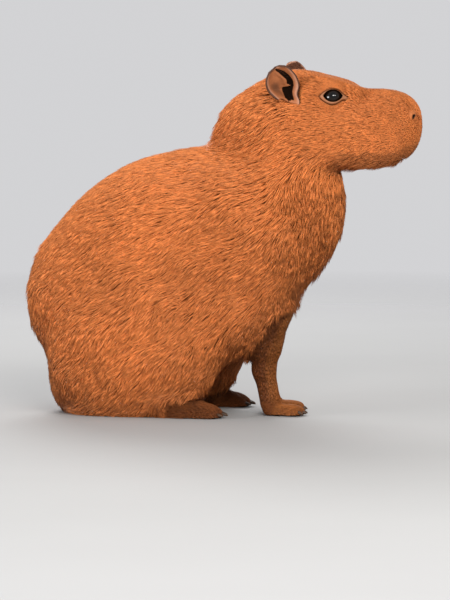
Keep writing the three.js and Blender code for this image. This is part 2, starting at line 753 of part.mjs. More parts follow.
// Points spread evenly over a core, each at least the spacing from the others.
function lockRoots(core, seed) {
  const mesh = core.getMesh();
  const random = randomFrom(seed);
  const corner = (t, n) => new THREE.Vector3().fromArray(mesh.vertProperties, 3 * mesh.triVerts[3 * t + n]);
  const triangles = [];
  let area = 0;
  for (let t = 0; t < mesh.numTri; t += 1) {
    const triangle = new THREE.Triangle(corner(t, 0), corner(t, 1), corner(t, 2));
    area += triangle.getArea();
    triangles.push({ triangle, upTo: area });
  }
  const roots = [];
  const tries = 6000;
  for (let n = 0; n < tries; n += 1) {
    const reach = random() * area;
    const { triangle } = triangles.find((t) => t.upTo >= reach);
    let [a, b] = [random(), random()];
    if (a + b > 1) [a, b] = [1 - a, 1 - b];
    const point = triangle.a.clone().multiplyScalar(1 - a - b)
      .addScaledVector(triangle.b, a).addScaledVector(triangle.c, b);
    const slope = gradient(skinDistance, point.toArray());
    const onCore = Math.abs(coreDistance(point.x, point.y, point.z)) < 3;
    const high = point.z > LOCK_LOWEST_ROOT && slope[2] > LOCK_LOWEST_SLOPE;
    if (onCore && high && roots.every((r) => r.distanceTo(point) > LOCK_SPACING)) roots.push(point);
  }
  return roots;
}

// A point moved straight in or out until it is at the given height over the skin.
function atHeight(point, height) {
  const moved = point.clone();
  for (let round = 0; round < 4; round += 1) {
    const at = moved.toArray();
    const slope = new THREE.Vector3(...gradient(skinDistance, at));
    const miss = skinDistance(...at) - height;
    moved.addScaledVector(slope, -miss / Math.max(slope.lengthSq(), 0.3));
  }
  return moved;
}

// One lock: it leaves the core, lies along the body and ends in a point that stands a little clear.
function lockGeometry(root, random) {
  const depth = coatDepth(root.x, root.y, root.z);
  const core = CORE_SHARE * depth;
  const length = LOCK_LENGTH * (0.85 + 0.3 * random());
  const width = LOCK_WIDTH * (0.85 + 0.3 * random());
  const bend = 0.5 * (random() - 0.5);
  const rings = [
    { along: 0, wide: 0.6, top: core - 2, edge: core - 4 },
    { along: 0.35, wide: 1, top: depth - 0.5, edge: core - 1 },
    { along: 0.7, wide: 0.8, top: depth + 0.5, edge: core + 2 },
  ];
  const positions = [];
  const centre = root.clone();
  let reached = 0;
  const goOn = (share) => {
    const normal = new THREE.Vector3(...gradient(skinDistance, centre.toArray())).normalize();
    const along = lie(centre.x, centre.y, centre.z);
    const side = normal.clone().cross(along).normalize();
    along.addScaledVector(side, bend * share).addScaledVector(normal, -along.dot(normal)).normalize();
    centre.addScaledVector(along, (share - reached) * length);
    reached = share;
    return side;
  };
  for (const ring of rings) {
    const side = goOn(ring.along);
    const half = (ring.wide * width) / 2;
    positions.push(...atHeight(centre, ring.top).toArray());
    positions.push(...atHeight(centre.clone().addScaledVector(side, half), ring.edge).toArray());
    positions.push(...atHeight(centre.clone().addScaledVector(side, -half), ring.edge).toArray());
  }
  goOn(1);
  positions.push(...atHeight(centre, depth + LOCK_TIP_RISE * random()).toArray());
  const faces = [0, 1, 2];
  for (let ring = 0; ring + 1 < rings.length; ring += 1) {
    for (let n = 0; n < 3; n += 1) {
      const a = 3 * ring + n;
      const b = 3 * ring + ((n + 1) % 3);
      faces.push(a, a + 3, b, b, a + 3, b + 3);
    }
  }
  const last = 3 * (rings.length - 1);
  const tip = last + 3;
  for (let n = 0; n < 3; n += 1) faces.push(last + n, tip, last + ((n + 1) % 3));
  const geometry = new THREE.BufferGeometry();
  geometry.setAttribute('position', new THREE.Float32BufferAttribute(positions, 3));
  geometry.setIndex(faces);
  return geometry;
}

// A core with its locks fused on.
function furred(core, seed) {
  const random = randomFrom(seed + 100);
  const locks = lockRoots(core, seed).map((root) => solid(lockGeometry(root, random)));
  return unite([core, ...locks]);
}

function node(name, body, look) {
  const material = new THREE.MeshStandardMaterial({
    color: look.colour,
    roughness: look.roughness,
    metalness: 0,
  });
  const mesh = new THREE.Mesh(geometryOf(body), material);
  mesh.name = name;
  return mesh;
}

const capybara = new THREE.Group();
capybara.add(node('chest', chest(), COAT));
capybara.add(node('rump', rump(), COAT));
capybara.add(node('neck', neck(), COAT));
capybara.add(node('head', head(), COAT));
for (const [side, sign] of Object.entries(SIDE_SIGN)) {
  capybara.add(node(`ear_${side}`, ear(sign), EAR_COLOUR));
  capybara.add(node(`eye_${side}`, eye(sign), EYE_COLOUR));
  capybara.add(node(`thigh_${side}`, thigh(sign), COAT));
  capybara.add(node(`foreleg_${side}`, foreleg(sign), LEG_COLOUR));
  capybara.add(node(`forefoot_${side}`, forefoot(sign), LEG_COLOUR));
  capybara.add(node(`hind_foot_${side}`, hindFoot(sign), LEG_COLOUR));
}

export default capybara;
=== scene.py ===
import math

import bpy
import numpy as np
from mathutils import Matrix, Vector
from mathutils.bvhtree import BVHTree
from mathutils.kdtree import KDTree


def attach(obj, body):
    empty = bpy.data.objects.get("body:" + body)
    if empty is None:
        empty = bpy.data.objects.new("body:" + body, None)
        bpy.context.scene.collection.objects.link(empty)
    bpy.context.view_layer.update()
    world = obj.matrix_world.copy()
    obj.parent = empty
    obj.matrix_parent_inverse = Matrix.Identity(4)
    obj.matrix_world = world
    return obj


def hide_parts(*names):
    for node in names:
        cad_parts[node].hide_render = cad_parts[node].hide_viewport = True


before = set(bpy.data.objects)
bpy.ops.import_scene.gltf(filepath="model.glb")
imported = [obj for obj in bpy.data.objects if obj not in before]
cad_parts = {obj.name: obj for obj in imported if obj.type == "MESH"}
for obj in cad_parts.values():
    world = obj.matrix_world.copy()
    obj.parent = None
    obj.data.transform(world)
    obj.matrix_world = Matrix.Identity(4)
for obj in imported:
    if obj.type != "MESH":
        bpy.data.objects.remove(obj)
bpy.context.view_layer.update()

MM = 0.001
SEED = 7

# Depth of the coat over the skin.
BODY_COAT = 12
HEAD_COAT = 5
LEG_COAT = 3
LID_COAT = 1.5


def normed(v):
    """One vector, at length 1."""
    return np.array(v) / np.linalg.norm(v)


def mass(centre, radii, power=2.0, pitch=0.0, blend=0.0, yaw=0.0):
    """One rounded mass: an ellipsoid, squarer where its power is over 2, its front end pitched up."""
    turn = [f(math.radians(angle)) for angle in (pitch, yaw) for f in (math.cos, math.sin)]
    return {"centre": centre, "radii": radii, "power": power, "turn": turn, "blend": blend}


# The body's masses at the skin, the same as in the solids.
TRUNK = [
    mass((-140, 0, 275), (240, 148, 180), 2.1, 40),
    mass((-235, 0, 215), (131, 132, 132), 2, 0, 34),
    mass((-200, 0, 72), (126, 128, 96), 2.4, 0, 34),
    mass((68, 0, 345), (103, 105, 128), 2, 25, 50),
    mass((137, 0, 388), (83, 80, 105), 2, 0, 40),
    mass((36, 0, 206), (66, 46, 84), 2, 30, 40),
    mass((108, 0, 465), (90, 80, 118), 2, 0, 50),
    mass((-16, 0, 438), (64, 64, 50), 2, 4, 50),
    mass((80, 0, 542), (86, 62, 70), 2, 20, 40),
]
SIDES = [
    mass((-150, 108, 118), (150, 64, 116), 2.2, 8, 46),
    mass((-74, 114, 94), (66, 46, 62), 2.2, 25, 36),
    mass((6, 80, 184), (80, 48, 72), 2, 35, 46),
    mass((62, 76, 340), (85, 48, 110), 2, 20, 46),
]
HEAD = [
    mass((166, 0, 578), (92, 58, 64), 2.2, -8, 40),
    mass((279, 0, 543), (93, 45, 68), 2.4, 0, 35),
    mass((250, 0, 525), (80, 44, 38), 2.3, 0, 20),
]
HEAD_SIDES = [
    mass((198, 41, 537), (88, 32, 55), 2.2, 0, 35),
    mass((208, 42, 606), (44, 22, 24), 2, -8, 25),
    mass((314, 20, 559), (50, 28, 44), 2.4, 0, 20),
    mass((291, 22, 516), (56, 26, 30), 2.3, 9, 20),
]
HEAD_BLEND = 34
HEAD_START = 60

# Legs: round cones between balls, each a centre and a radius. The left foreleg is set back.
FORELEG_BACK = 18
FORELEG = [
    ((98, 60, 290), 38), ((96, 54, 200), 33), ((88, 49, 130), 23),
    ((85, 46, 85), 17.5), ((96, 46, 28), 16.5),
]
FORELEG_MELT = [20, 20, 14]
FORE_PALM = mass((123, 46, 9), (36, 23, 11), 2.5, 0, 14)
LEG_BLEND = 30
HIND_FOOT = [((-150, 114, 22), 24), ((-60, 126, 20), 20)]
HIND_SOLE = mass((-28, 130, 11), (42, 24, 14), 2.4, 0, 25)
HIND_BLEND = 20
FORE_TOES = {"count": 4, "at": (136, 46, 7.5), "spread": 33, "fan": 24, "size": (24, 8.5, 8), "claw": 15}
HIND_TOES = {"count": 3, "at": (-6, 130, 8), "spread": 32, "fan": 18, "size": (28, 10.5, 10.5), "claw": 18}
TOE_BLEND = 6
OUTER_TOE_LOSS = 0.16

# Eyes look sideways from high on the head. The lids open in the shape of a lens with a
# narrow corner in front. A lens is given by half its length and its height up and down. The
# lids' own lens lies a little to the rear of the eye.
EYE = np.array([218, 55, 600.0])
EYE_RADIUS = 19
CORNEA = 0.7
EYE_AXIS = normed([0.2, 0.96, 0.19])
ORBIT_RADIUS = 22.5
ORBIT_BLEND = 12
LID_OPENING = (18.2, 12, 12)
LID_OUTER = (23, 12.9, 16.3)
LID_CORNER = (11.5, 4.6, 4.6)
LID_BACK = 2.5
LID_CORNER_PLACE = 18

# Nostril: a slit in the shape of a 7. Mouth: a line in the side view, and the cleft over it.
NOSTRIL = [(375, 33, 567.5), (370, 38, 565.5), (368, 38.5, 556.5)]
NOSTRIL_RADII = (2.4, 3.0, 1.8)
NOSTRIL_RIM = mass((358, 30, 566), (13, 10, 12), 2, 0, 8)
MOUTH = [(410, 508), (367, 497), (335, 488), (308, 485), (290, 491), (282, 498)]
MOUTH_WIDTH = 2.4
MOUTH_DEPTH = 4.5

# Ears: cupped sheets, turned out a little more than the solids, with a free lower edge. The
# front edge swells and narrows: each swell has a share, a height and a reach.
EAR_ROOT = np.array([131, 65, 590.0])
EAR_HEIGHT = 75
EAR_SLANT = 9
EAR_FRONT = 30.5
EAR_REAR = 30
EAR_CUP = 17
EAR_THICK = 4.2
EAR_UP = normed([-0.13, 0.42, 0.9])
EAR_FACING = np.array([0.46, 0.89, 0.0])
EAR_CURL = 18
EAR_LOBE = 13
EAR_LIFT = 10
EAR_SWELLS = [(-0.14, 0.2, 0.08), (0.03, 0.42, 0.1), (-0.05, 0.8, 0.12)]
LEFT_EAR_LEAN = np.array([-0.175, -0.06, 0.0])
LEFT_EAR_RISE = 7
EAR_MOUTH = EAR_ROOT + (12, 4, 16)

# Colours of the drawing, in linear light.
COAT = (0.560, 0.162, 0.037)
# Painted shade: a darker tone under the rump, belly, chest, throat and lower muzzle.
UNDERSIDE_SHADE = (0.40, 0.116, 0.027)
LEG = (0.160, 0.042, 0.007)
# Painted highlight: the lit front of the shin and foot, lighter than the rest of the leg.
LEG_FRONT_HIGHLIGHT = (0.265, 0.08, 0.015)
LID = (0.29, 0.115, 0.05)
# Painted shade: near black in the nostrils, the mouth line and the folds round the lids.
HOLLOW_SHADE = (0.006, 0.003, 0.002)

# Tints of the tufts, by which the colour is multiplied.
WHITE = (1.0, 1.0, 1.0)
DARK_TUFT = (0.72, 0.72, 0.72)
PALE_TUFT = (1.3, 1.3, 1.3)
PALE_TIP = (1.3, 1.42, 1.6)
# The ears' hair: greyer and darker, partly the ears' own tone and partly painted shade.
EAR_TINT = (0.2, 0.2, 0.27)


def clamp01(value):
    return np.clip(value, 0, 1)


def smooth(low, high, value):
    t = clamp01((value - low) / (high - low))
    return t * t * (3 - 2 * t)


def below(low, high, value):
    """1 under the low value, 0 over the high one."""
    return 1 - smooth(low, high, value)


def bell(value, middle, width):
    """1 in the middle, soon 0 past the width."""
    return np.exp(-((value - middle) / width) ** 2)


def blended(value, *changes):
    """A value that gives way to others in turn, each by its share."""
    for other, share in changes:
        value = value + (other - value) * share
    return value


def melt(a, b, blend):
    """Two forms flow into each other over the width of the blend."""
    h = np.maximum(blend - np.abs(a - b), 0) / blend
    return np.minimum(a, b) - h * h * blend / 4


def carve(a, b, blend):
    """The first form without the second, with a softened edge."""
    return -melt(-a, b, blend)


def mass_distance(m, x, y, z):
    """Distance from points to a mass, close to true near its surface."""
    cos_pitch, sin_pitch, cos_yaw, sin_yaw = m["turn"]
    dx, dy, dz = (v - c for v, c in zip((x, y, z), m["centre"]))
    if sin_yaw:
        dx, dy = cos_yaw * dx + sin_yaw * dy, cos_yaw * dy - sin_yaw * dx
    radii, power = m["radii"], m["power"]
    q = [
        np.abs(cos_pitch * dx + sin_pitch * dz) / radii[0] + 1e-6,
        np.abs(dy) / radii[1] + 1e-6,
        np.abs(cos_pitch * dz - sin_pitch * dx) / radii[2] + 1e-6,
    ]
    powers = q if power == 2 else [v ** (power - 1) for v in q]
    reach = sum(a * b for a, b in zip(q, powers)) ** (1 / power)
    slope = np.sqrt(sum((v / r) ** 2 for v, r in zip(powers, radii)))
    return (reach - 1) * reach ** (power - 1) / slope


def cone_distance(start, end, x, y, z):
    """Distance from points to a cone with round ends, which joins two balls."""
    (a, ra), (b, rb) = start, end
    axis = np.subtract(b, a)
    square = float(axis @ axis)
    taper = ra - rb
    reach = square - taper * taper
    px, py, pz = x - a[0], y - a[1], z - a[2]
    along = px * axis[0] + py * axis[1] + pz * axis[2]
    past = along - square
    across = sum((p * square - along * v) ** 2 for p, v in zip((px, py, pz), axis))
    edge = math.copysign(taper * taper, taper) * across
    side = (np.sqrt(across * reach / square) + along * taper) / square - ra
    near_a = np.sqrt(across + along * along * square) / square - ra
    near_b = np.sqrt(across + past * past * square) / square - rb
    return np.where(
        np.sign(past) * reach * past * past * square > edge, near_b,
        np.where(np.sign(along) * reach * along * along * square < edge, near_a, side),
    )


def toe_places(toes):
    """For each toe of a left foot its middle, half its length and the angle that it is turned out."""
    middle = (toes["count"] - 1) / 2
    for n in range(toes["count"]):
        place = (n - middle) / middle
        x, y, z = toes["at"]
        length = toes["size"][0] * (1 - OUTER_TOE_LOSS * place * place)
        yield (x, y + place * toes["spread"] / 2, z), length, place * toes["fan"] / 2


def toe_masses(toes):
    made = []
    for centre, length, yaw in toe_places(toes):
        made.append(mass(centre, (length, *toes["size"][1:]), 2.3, -4, TOE_BLEND, yaw))
    return made


FORE_FOOT = [FORE_PALM] + toe_masses(FORE_TOES)
HIND_TREAD = [HIND_SOLE] + toe_masses(HIND_TOES)


def melted(d, masses, x, wide, z):
    """A form with more masses melted into it."""
    for m in masses:
        d = melt(d, mass_distance(m, x, wide, z), m["blend"])
    return d


def foreleg_distance(x, wide, z):
    d = cone_distance(FORELEG[0], FORELEG[1], x, wide, z)
    for start, end, blend in zip(FORELEG[1:], FORELEG[2:], FORELEG_MELT):
        d = melt(d, cone_distance(start, end, x, wide, z), blend)
    return melted(d, FORE_FOOT, x, wide, z)


def hind_foot_distance(x, wide, z):
    return melted(cone_distance(*HIND_FOOT, x, wide, z), HIND_TREAD, x, wide, z)


def ball_distance(centre, x, wide, z):
    return np.sqrt((x - centre[0]) ** 2 + (wide - centre[1]) ** 2 + (z - centre[2]) ** 2)


def eye_basis(axis):
    """Directions to the rear of an eye's opening, up across it, and out of it."""
    rear = normed(np.cross([0, 0, 1], axis))
    return rear, np.cross(axis, rear), axis


EYE_BASIS = eye_basis(EYE_AXIS)


def eye_place(x, wide, z):
    """Places forward along the eye's opening, up across it, and out of it."""
    q = (x - EYE[0], wide - EYE[1], z - EYE[2])
    rear, up, out = (sum(a * b for a, b in zip(q, axis)) for axis in EYE_BASIS)
    return -rear, up, out


def lens_distance(fore, up, size):
    """Distance from the edge of a lens with two pointed corners, negative inside."""
    half_length, upper, lower = size
    half_height = np.where(up > 0, upper, lower)
    radius = (half_length ** 2 + half_height ** 2) / (2 * half_height)
    beyond = np.hypot(np.maximum(np.abs(fore) - half_length, 0), up)
    return np.where(
        np.abs(fore) > half_length, beyond, np.hypot(fore, np.abs(up) + radius - half_height) - radius
    )


def lid_edge(fore, up):
    """Distance from the edge of the lids, negative on them: a lens, lower to the rear, and its corner."""
    rear = clamp01(-(fore + LID_BACK) / LID_OUTER[0]) ** 1.5
    lens = lens_distance(fore + LID_BACK, up * (1 + rear) / (1 + rear / 2), LID_OUTER)
    past = fore - LID_CORNER_PLACE
    corner = lens_distance(past, up + 2.4 + 0.12 * past, LID_CORNER)
    return melt(lens, corner, 3)


def mouth_distance(x, z):
    """Distance in the side view from the line of the mouth."""
    best = np.full(np.shape(x), 1e6, np.float32)
    for (ax, az), (bx, bz) in zip(MOUTH, MOUTH[1:]):
        sx, sz = bx - ax, bz - az
        t = clamp01(((x - ax) * sx + (z - az) * sz) / (sx * sx + sz * sz))
        best = np.minimum(best, np.hypot(x - ax - t * sx, z - az - t * sz))
    return best


def head_masses(x, wide, z):
    """Distances from the head without its folds, and from the middle of the eye."""
    d = melted(mass_distance(HEAD[0], x, wide, z), HEAD[1:] + HEAD_SIDES, x, wide, z)
    eye = ball_distance(EYE, x, wide, z)
    return melt(d, eye - ORBIT_RADIUS, ORBIT_BLEND), eye


def nostril_distance(x, wide, z):
    balls = list(zip(NOSTRIL, NOSTRIL_RADII))
    return np.minimum(*(cone_distance(a, b, x, wide, z) for a, b in zip(balls, balls[1:])))


def face(d, eye, x, wide, z):
    """The folds of the face: lids, nostrils, lips, the cleft over the mouth and the cheeks."""
    fore, up, out = eye_place(x, wide, z)
    outer = lid_edge(fore, up)
    near_eye = below(34, 42, eye) * (out > 0)
    crease = bell(outer, 1.2, 1.3) * (0.85 + 0.15 * np.sign(up))
    d = d + near_eye * (1.5 * crease - 1.3 * bell(outer, -2.2, 1.5))
    opening = np.maximum(lens_distance(fore, up, LID_OPENING), 8 - out)
    d = np.where(eye < 32, carve(d, opening, 1.5), d)
    d = np.where(eye < 32, carve(d, eye - EYE_RADIUS - 0.2, 0.5), d)
    d = melt(d, mass_distance(NOSTRIL_RIM, x, wide, z), NOSTRIL_RIM["blend"])
    d = np.where(x > 340, carve(d, nostril_distance(x, wide, z), 1.5), d)
    line = mouth_distance(x, z)
    lips = smooth(276, 300, x)
    d = d + lips * MOUTH_DEPTH * bell(line, 0, MOUTH_WIDTH)
    d = d - lips * 1.6 * bell(line, 7, 4.5)
    cleft = smooth(345, 362, x) * smooth(494, 504, z) * below(548, 562, z)
    d = d + cleft * 3.2 * bell(wide, 0, 2.2)
    fold = np.hypot((x - 268) / 1.0, (z - 508) / 1.9)
    return d + 1.6 * bell(fold, 14, 4) * smooth(0, 30, 285 - x) * (wide > 30)


def foreleg_x(x, y):
    """Places along the animal as at the right foreleg, since the left one is set back."""
    return x + np.where(y > 0, FORELEG_BACK, 0)


def skin_distance(x, y, z, details=True):
    """Distance from points to the animal's skin, negative inside."""
    x, y, z = (np.asarray(v, np.float32) for v in (x, y, z))
    wide = np.abs(y)
    d = melted(mass_distance(TRUNK[0], x, wide, z), TRUNK[1:] + SIDES, x, wide, z)
    near = np.nonzero((x > HEAD_START - 60) & (z > 380))
    if near[0].size:
        place = x[near], wide[near], z[near]
        head, eye = head_masses(*place)
        whole = melt(d[near], head, HEAD_BLEND)
        d[near] = face(whole, eye, *place) if details else whole
    low = np.nonzero(z < 400)
    if low[0].size:
        place = x[low], wide[low], z[low]
        legs = melt(d[low], foreleg_distance(foreleg_x(x[low], y[low]), *place[1:]), LEG_BLEND)
        d[low] = melt(legs, hind_foot_distance(*place), HIND_BLEND)
    return d


SOLE_HEIGHT = 0.8
SOLE_SKIN = (3, 6)


def grounded_distance(x, y, z):
    """The skin, flat where it rests on the floor."""
    return carve(skin_distance(x, y, z), z - SOLE_HEIGHT, 1.5)


def plain_distance(x, y, z):
    """The skin without the folds of the face."""
    return skin_distance(x, y, z, details=False)


def folded(p):
    """Places of points, and of those on the right as on the left: forward, out and up."""
    return p[:, 0], np.abs(p[:, 1]), p[:, 2]


def eye_distance(p):
    return ball_distance(EYE, *folded(p))


def coat_depth(p):
    """Depth of the coat: long on the body, short on the head, legs and lids."""
    x, _, z = p.T
    return blended(
        BODY_COAT,
        (HEAD_COAT, smooth(120, 230, x) * smooth(440, 520, z)),
        (LEG_COAT, smooth(-60, 40, x) * below(60, 190, z)),
        (LID_COAT, below(ORBIT_RADIUS, ORBIT_RADIUS + 16, eye_distance(p))),
    )


def slope_at(p, distance):
    """Distance and its slope at points."""
    h = 0.4
    here = distance(*p.T)
    slope = np.empty_like(p)
    for axis in range(3):
        moved = p.copy()
        moved[:, axis] += h
        slope[:, axis] = (distance(*moved.T) - here) / h
    return here, slope


def to_height(p, height, distance, rounds=1):
    """Points moved straight in or out until they are at a height over the skin."""
    p = p.copy()
    for _ in range(rounds):
        here, slope = slope_at(p, distance)
        step = (here - height) / np.maximum((slope ** 2).sum(1), 0.3)
        p -= slope * np.clip(step, -12, 12)[:, None]
    return p


def unit(v):
    """Many vectors, each at length 1."""
    return v / np.maximum(np.linalg.norm(v, axis=-1, keepdims=True), 1e-9)


# The grid on which the skin is made is finer where the head and the forelegs are.
GRID_X = [(-400, 60, 5.5), (60, 186, 2.2), (186, 252, 1.1), (252, 344, 2.2), (344, 392, 1.2)]
GRID_Y = [(-200, -96, 5.2), (-96, 96, 2.2), (96, 200, 5.2)]
GRID_Z = [(-6, 60, 2.6), (60, 440, 5.5), (440, 552, 2.2), (552, 622, 1.1), (622, 650, 2.2)]
COARSE = 4


def lines(spans):
    parts = [np.arange(start, end, step) for start, end, step in spans]
    return np.concatenate(parts + [[spans[-1][1]]]).astype(np.float32)


def sampled(distance, grid):
    """The distance on the grid, worked out only in the cells that are near the surface."""
    some = [axis[::COARSE] for axis in grid]
    values = distance(*np.meshgrid(*some, indexing="ij"))
    for axis in range(3):
        values = np.repeat(values, COARSE, axis=axis)
    values = values[tuple(slice(0, len(axis)) for axis in grid)].copy()
    cell = np.meshgrid(*(np.gradient(axis) for axis in grid), indexing="ij", sparse=True)
    reach = COARSE * 1.05 * np.sqrt(sum(width ** 2 for width in cell))
    near = np.nonzero(np.abs(values) < reach + 3)
    values[near] = distance(*(axis[index] for axis, index in zip(grid, near)))
    return values


def surface_nets(values, grid):
    """Quads of the surface where the values are zero: one vertex for each cell that it crosses."""
    inside = values < 0
    shape = [n - 1 for n in values.shape]
    corners = [(i, j, k) for i in (0, 1) for j in (0, 1) for k in (0, 1)]
    parts = [tuple(slice(c, c + n) for c, n in zip(corner, shape)) for corner in corners]
    filled = sum(inside[part].astype(np.uint8) for part in parts)
    crossed = np.nonzero((filled > 0) & (filled < 8))
    total = np.zeros((len(crossed[0]), 3))
    crossings = np.zeros(len(crossed[0]))
    for corner in corners:
        for axis in range(3):
            if corner[axis] == 1:
                continue
            other = tuple(1 if n == axis else c for n, c in enumerate(corner))
            a = values[tuple(i + c for i, c in zip(crossed, corner))]
            b = values[tuple(i + c for i, c in zip(crossed, other))]
            crosses = (a < 0) != (b < 0)
            point = np.tile(np.array(corner, float), (len(a), 1))
            point[:, axis] = np.where(crosses, a / np.where(a == b, 1, a - b), 0)
            total += point * crosses[:, None]
            crossings += crosses
    place = total / crossings[:, None] + np.stack(crossed, 1)
    points = np.stack([np.interp(place[:, n], np.arange(len(grid[n])), grid[n]) for n in range(3)], 1)
    index = np.full(shape, -1)
    index[crossed] = np.arange(len(points))
    quads = []
    for axis in range(3):
        b, c = (axis + 1) % 3, (axis + 2) % 3
        low = np.take(inside, range(shape[axis]), axis)
        high = np.take(inside, range(1, shape[axis] + 1), axis)
        edges = np.argwhere(low != high)
        ringed = (edges[:, [b, c]] > 0).all(1) & (edges[:, [b, c]] < (shape[b], shape[c])).all(1)
        edges = edges[ringed]
        ring = []
        for back_b, back_c in ((0, 0), (1, 0), (1, 1), (0, 1)):
            at = edges.copy()
            at[:, b] -= back_b
            at[:, c] -= back_c
            ring.append(index[tuple(at.T)])
        quad = np.stack(ring, 1)
        flip = ~low[tuple(edges.T)]
        quad[flip] = quad[flip][:, ::-1]
        quads.append(quad)
    return points, np.concatenate(quads)


def halves(quads):
    """The two triangles of each quad."""
    return np.concatenate([quads[:, [0, 1, 2]], quads[:, [0, 2, 3]]])


def cells(index):
    """The quads between the points of a grid, from the grid of their numbers."""
    return np.stack([index[:-1, :-1], index[:-1, 1:], index[1:, 1:], index[1:, :-1]], -1).reshape(-1, 4)


def tube(rings, sides):
    """The numbers of the points of a row of rings, with the first of each ring again at its end."""
    index = np.arange(rings * sides).reshape(rings, sides)
    return np.hstack([index, index[:, :1]])


def joined(parts):
    """The points and faces of several parts as one."""
    starts = np.cumsum([0] + [len(points) for points, _ in parts])
    faces = [faces + start for (_, faces), start in zip(parts, starts)]
    return np.concatenate([points for points, _ in parts]), np.concatenate(faces)


def new_mesh(name, points, faces, material):
    """An object from arrays: points in millimetres, and faces that all have the same corner count."""
    mesh = bpy.data.meshes.new(name)
    count, sides = faces.shape
    mesh.vertices.add(len(points))
    mesh.vertices.foreach_set("co", (np.asarray(points, np.float64) * MM).astype(np.float32).ravel())
    mesh.loops.add(count * sides)
    mesh.loops.foreach_set("vertex_index", faces.astype(np.int32).ravel())
    mesh.polygons.add(count)
    mesh.polygons.foreach_set("loop_start", np.arange(0, count * sides, sides, dtype=np.int32))
    mesh.polygons.foreach_set("use_smooth", np.full(count, True))
    mesh.update(calc_edges=True)
    mesh.materials.append(material)
    piece = bpy.data.objects.new(name, mesh)
    bpy.context.scene.collection.objects.link(piece)
    return piece


def set_attribute(piece, name, values):
    attribute = piece.data.attributes.new(name, "FLOAT", "POINT")
    attribute.data.foreach_set("value", np.asarray(values, np.float32))


# Markings and painted light, the same on skin and coat: the edges of the drawing's darker areas in the side
# view. The seat, chin and throat lines bound painted shade, the fringe and hind lines the dark legs, and the
# shin line a painted highlight on the front of the leg.
SEAT_LINE = [
    (-400, 290), (-379, 231), (-349, 192), (-315, 161), (-291, 125), (-284, 101), (-252, 70), (-218, 51),
    (-184, 42), (-145, 46), (-76, 67), (-31, 84), (11, 129), (56, 174), (101, 222), (146, 269), (186, 305),
    (230, 345),
]
CHIN_LINE = [(219, 473), (234, 498), (248, 505), (280, 501), (308, 497), (335, 501), (360, 515), (390, 536)]
THROAT_LINE = [(350, 236), (415, 218), (445, 214), (473, 219), (498, 234)]
FRINGE_LINE = [(60, 118), (76, 138), (80, 152), (95, 164), (112, 190), (120, 200), (140, 220), (156, 240)]
SHIN_LINE = [(0, 100), (20, 104), (45, 96), (90, 92), (130, 99), (180, 122), (225, 148)]
HIND_LINE = [(-105, 26), (-84, 32), (-64, 38), (-50, 44), (-31, 44), (-17, 50), (0, 54)]


def line_height(x, line):
    return np.interp(x, *zip(*line))


def underside_shade_share(p):
    """Painted shade, darker: low on the rump and belly, the chest's edge, the throat and the lower muzzle."""
    x, z = p[:, 0], p[:, 2]
    wave = 4 * np.sin(0.11 * x + 0.07 * z) + 3 * np.sin(0.29 * x - 0.17 * z)
    seat = below(-6, 6, z + wave - line_height(x, SEAT_LINE))
    chin = below(-4, 4, z + 0.4 * wave - line_height(x, CHIN_LINE))
    throat = smooth(-9, 9, x + wave - line_height(z, THROAT_LINE)) * smooth(350, 400, z)
    head = throat * (0.45 + 0.55 * smooth(440, 480, z)) * np.where(z > 480, chin, 1)
    return np.maximum(0.68 * seat * (z < 350), head)


def dark_leg_share(p):
    """The dark legs and feet, up to the fringe of the coat."""
    x, wide, z = folded(p)
    back = foreleg_x(x, p[:, 1])
    fore = below(-4, 4, z - line_height(back, FRINGE_LINE))
    fore = fore * smooth(44, 54, back) * (wide < 92)
    hind = below(-5, 5, z - line_height(x, HIND_LINE))
    hind = hind * smooth(-90, -76, x) * (wide > 84) * (x < 60)
    return np.maximum(fore, hind)


def leg_front_highlight_share(p):
    """Painted highlight: the lighter band down the front of the shin and over the foot, where the light
    falls.
    """
    x, y, z = p.T
    return smooth(-5, 5, foreleg_x(x, y) - line_height(z, SHIN_LINE)) * (np.abs(y) < 92)


MARKINGS_AND_PAINTED_LIGHT = {"underside_shade": underside_shade_share, "dark_leg": dark_leg_share, "leg_front_highlight": leg_front_highlight_share}


def mark(piece, p, shares):
    for name, share in shares.items():
        set_attribute(piece, name, share(p))


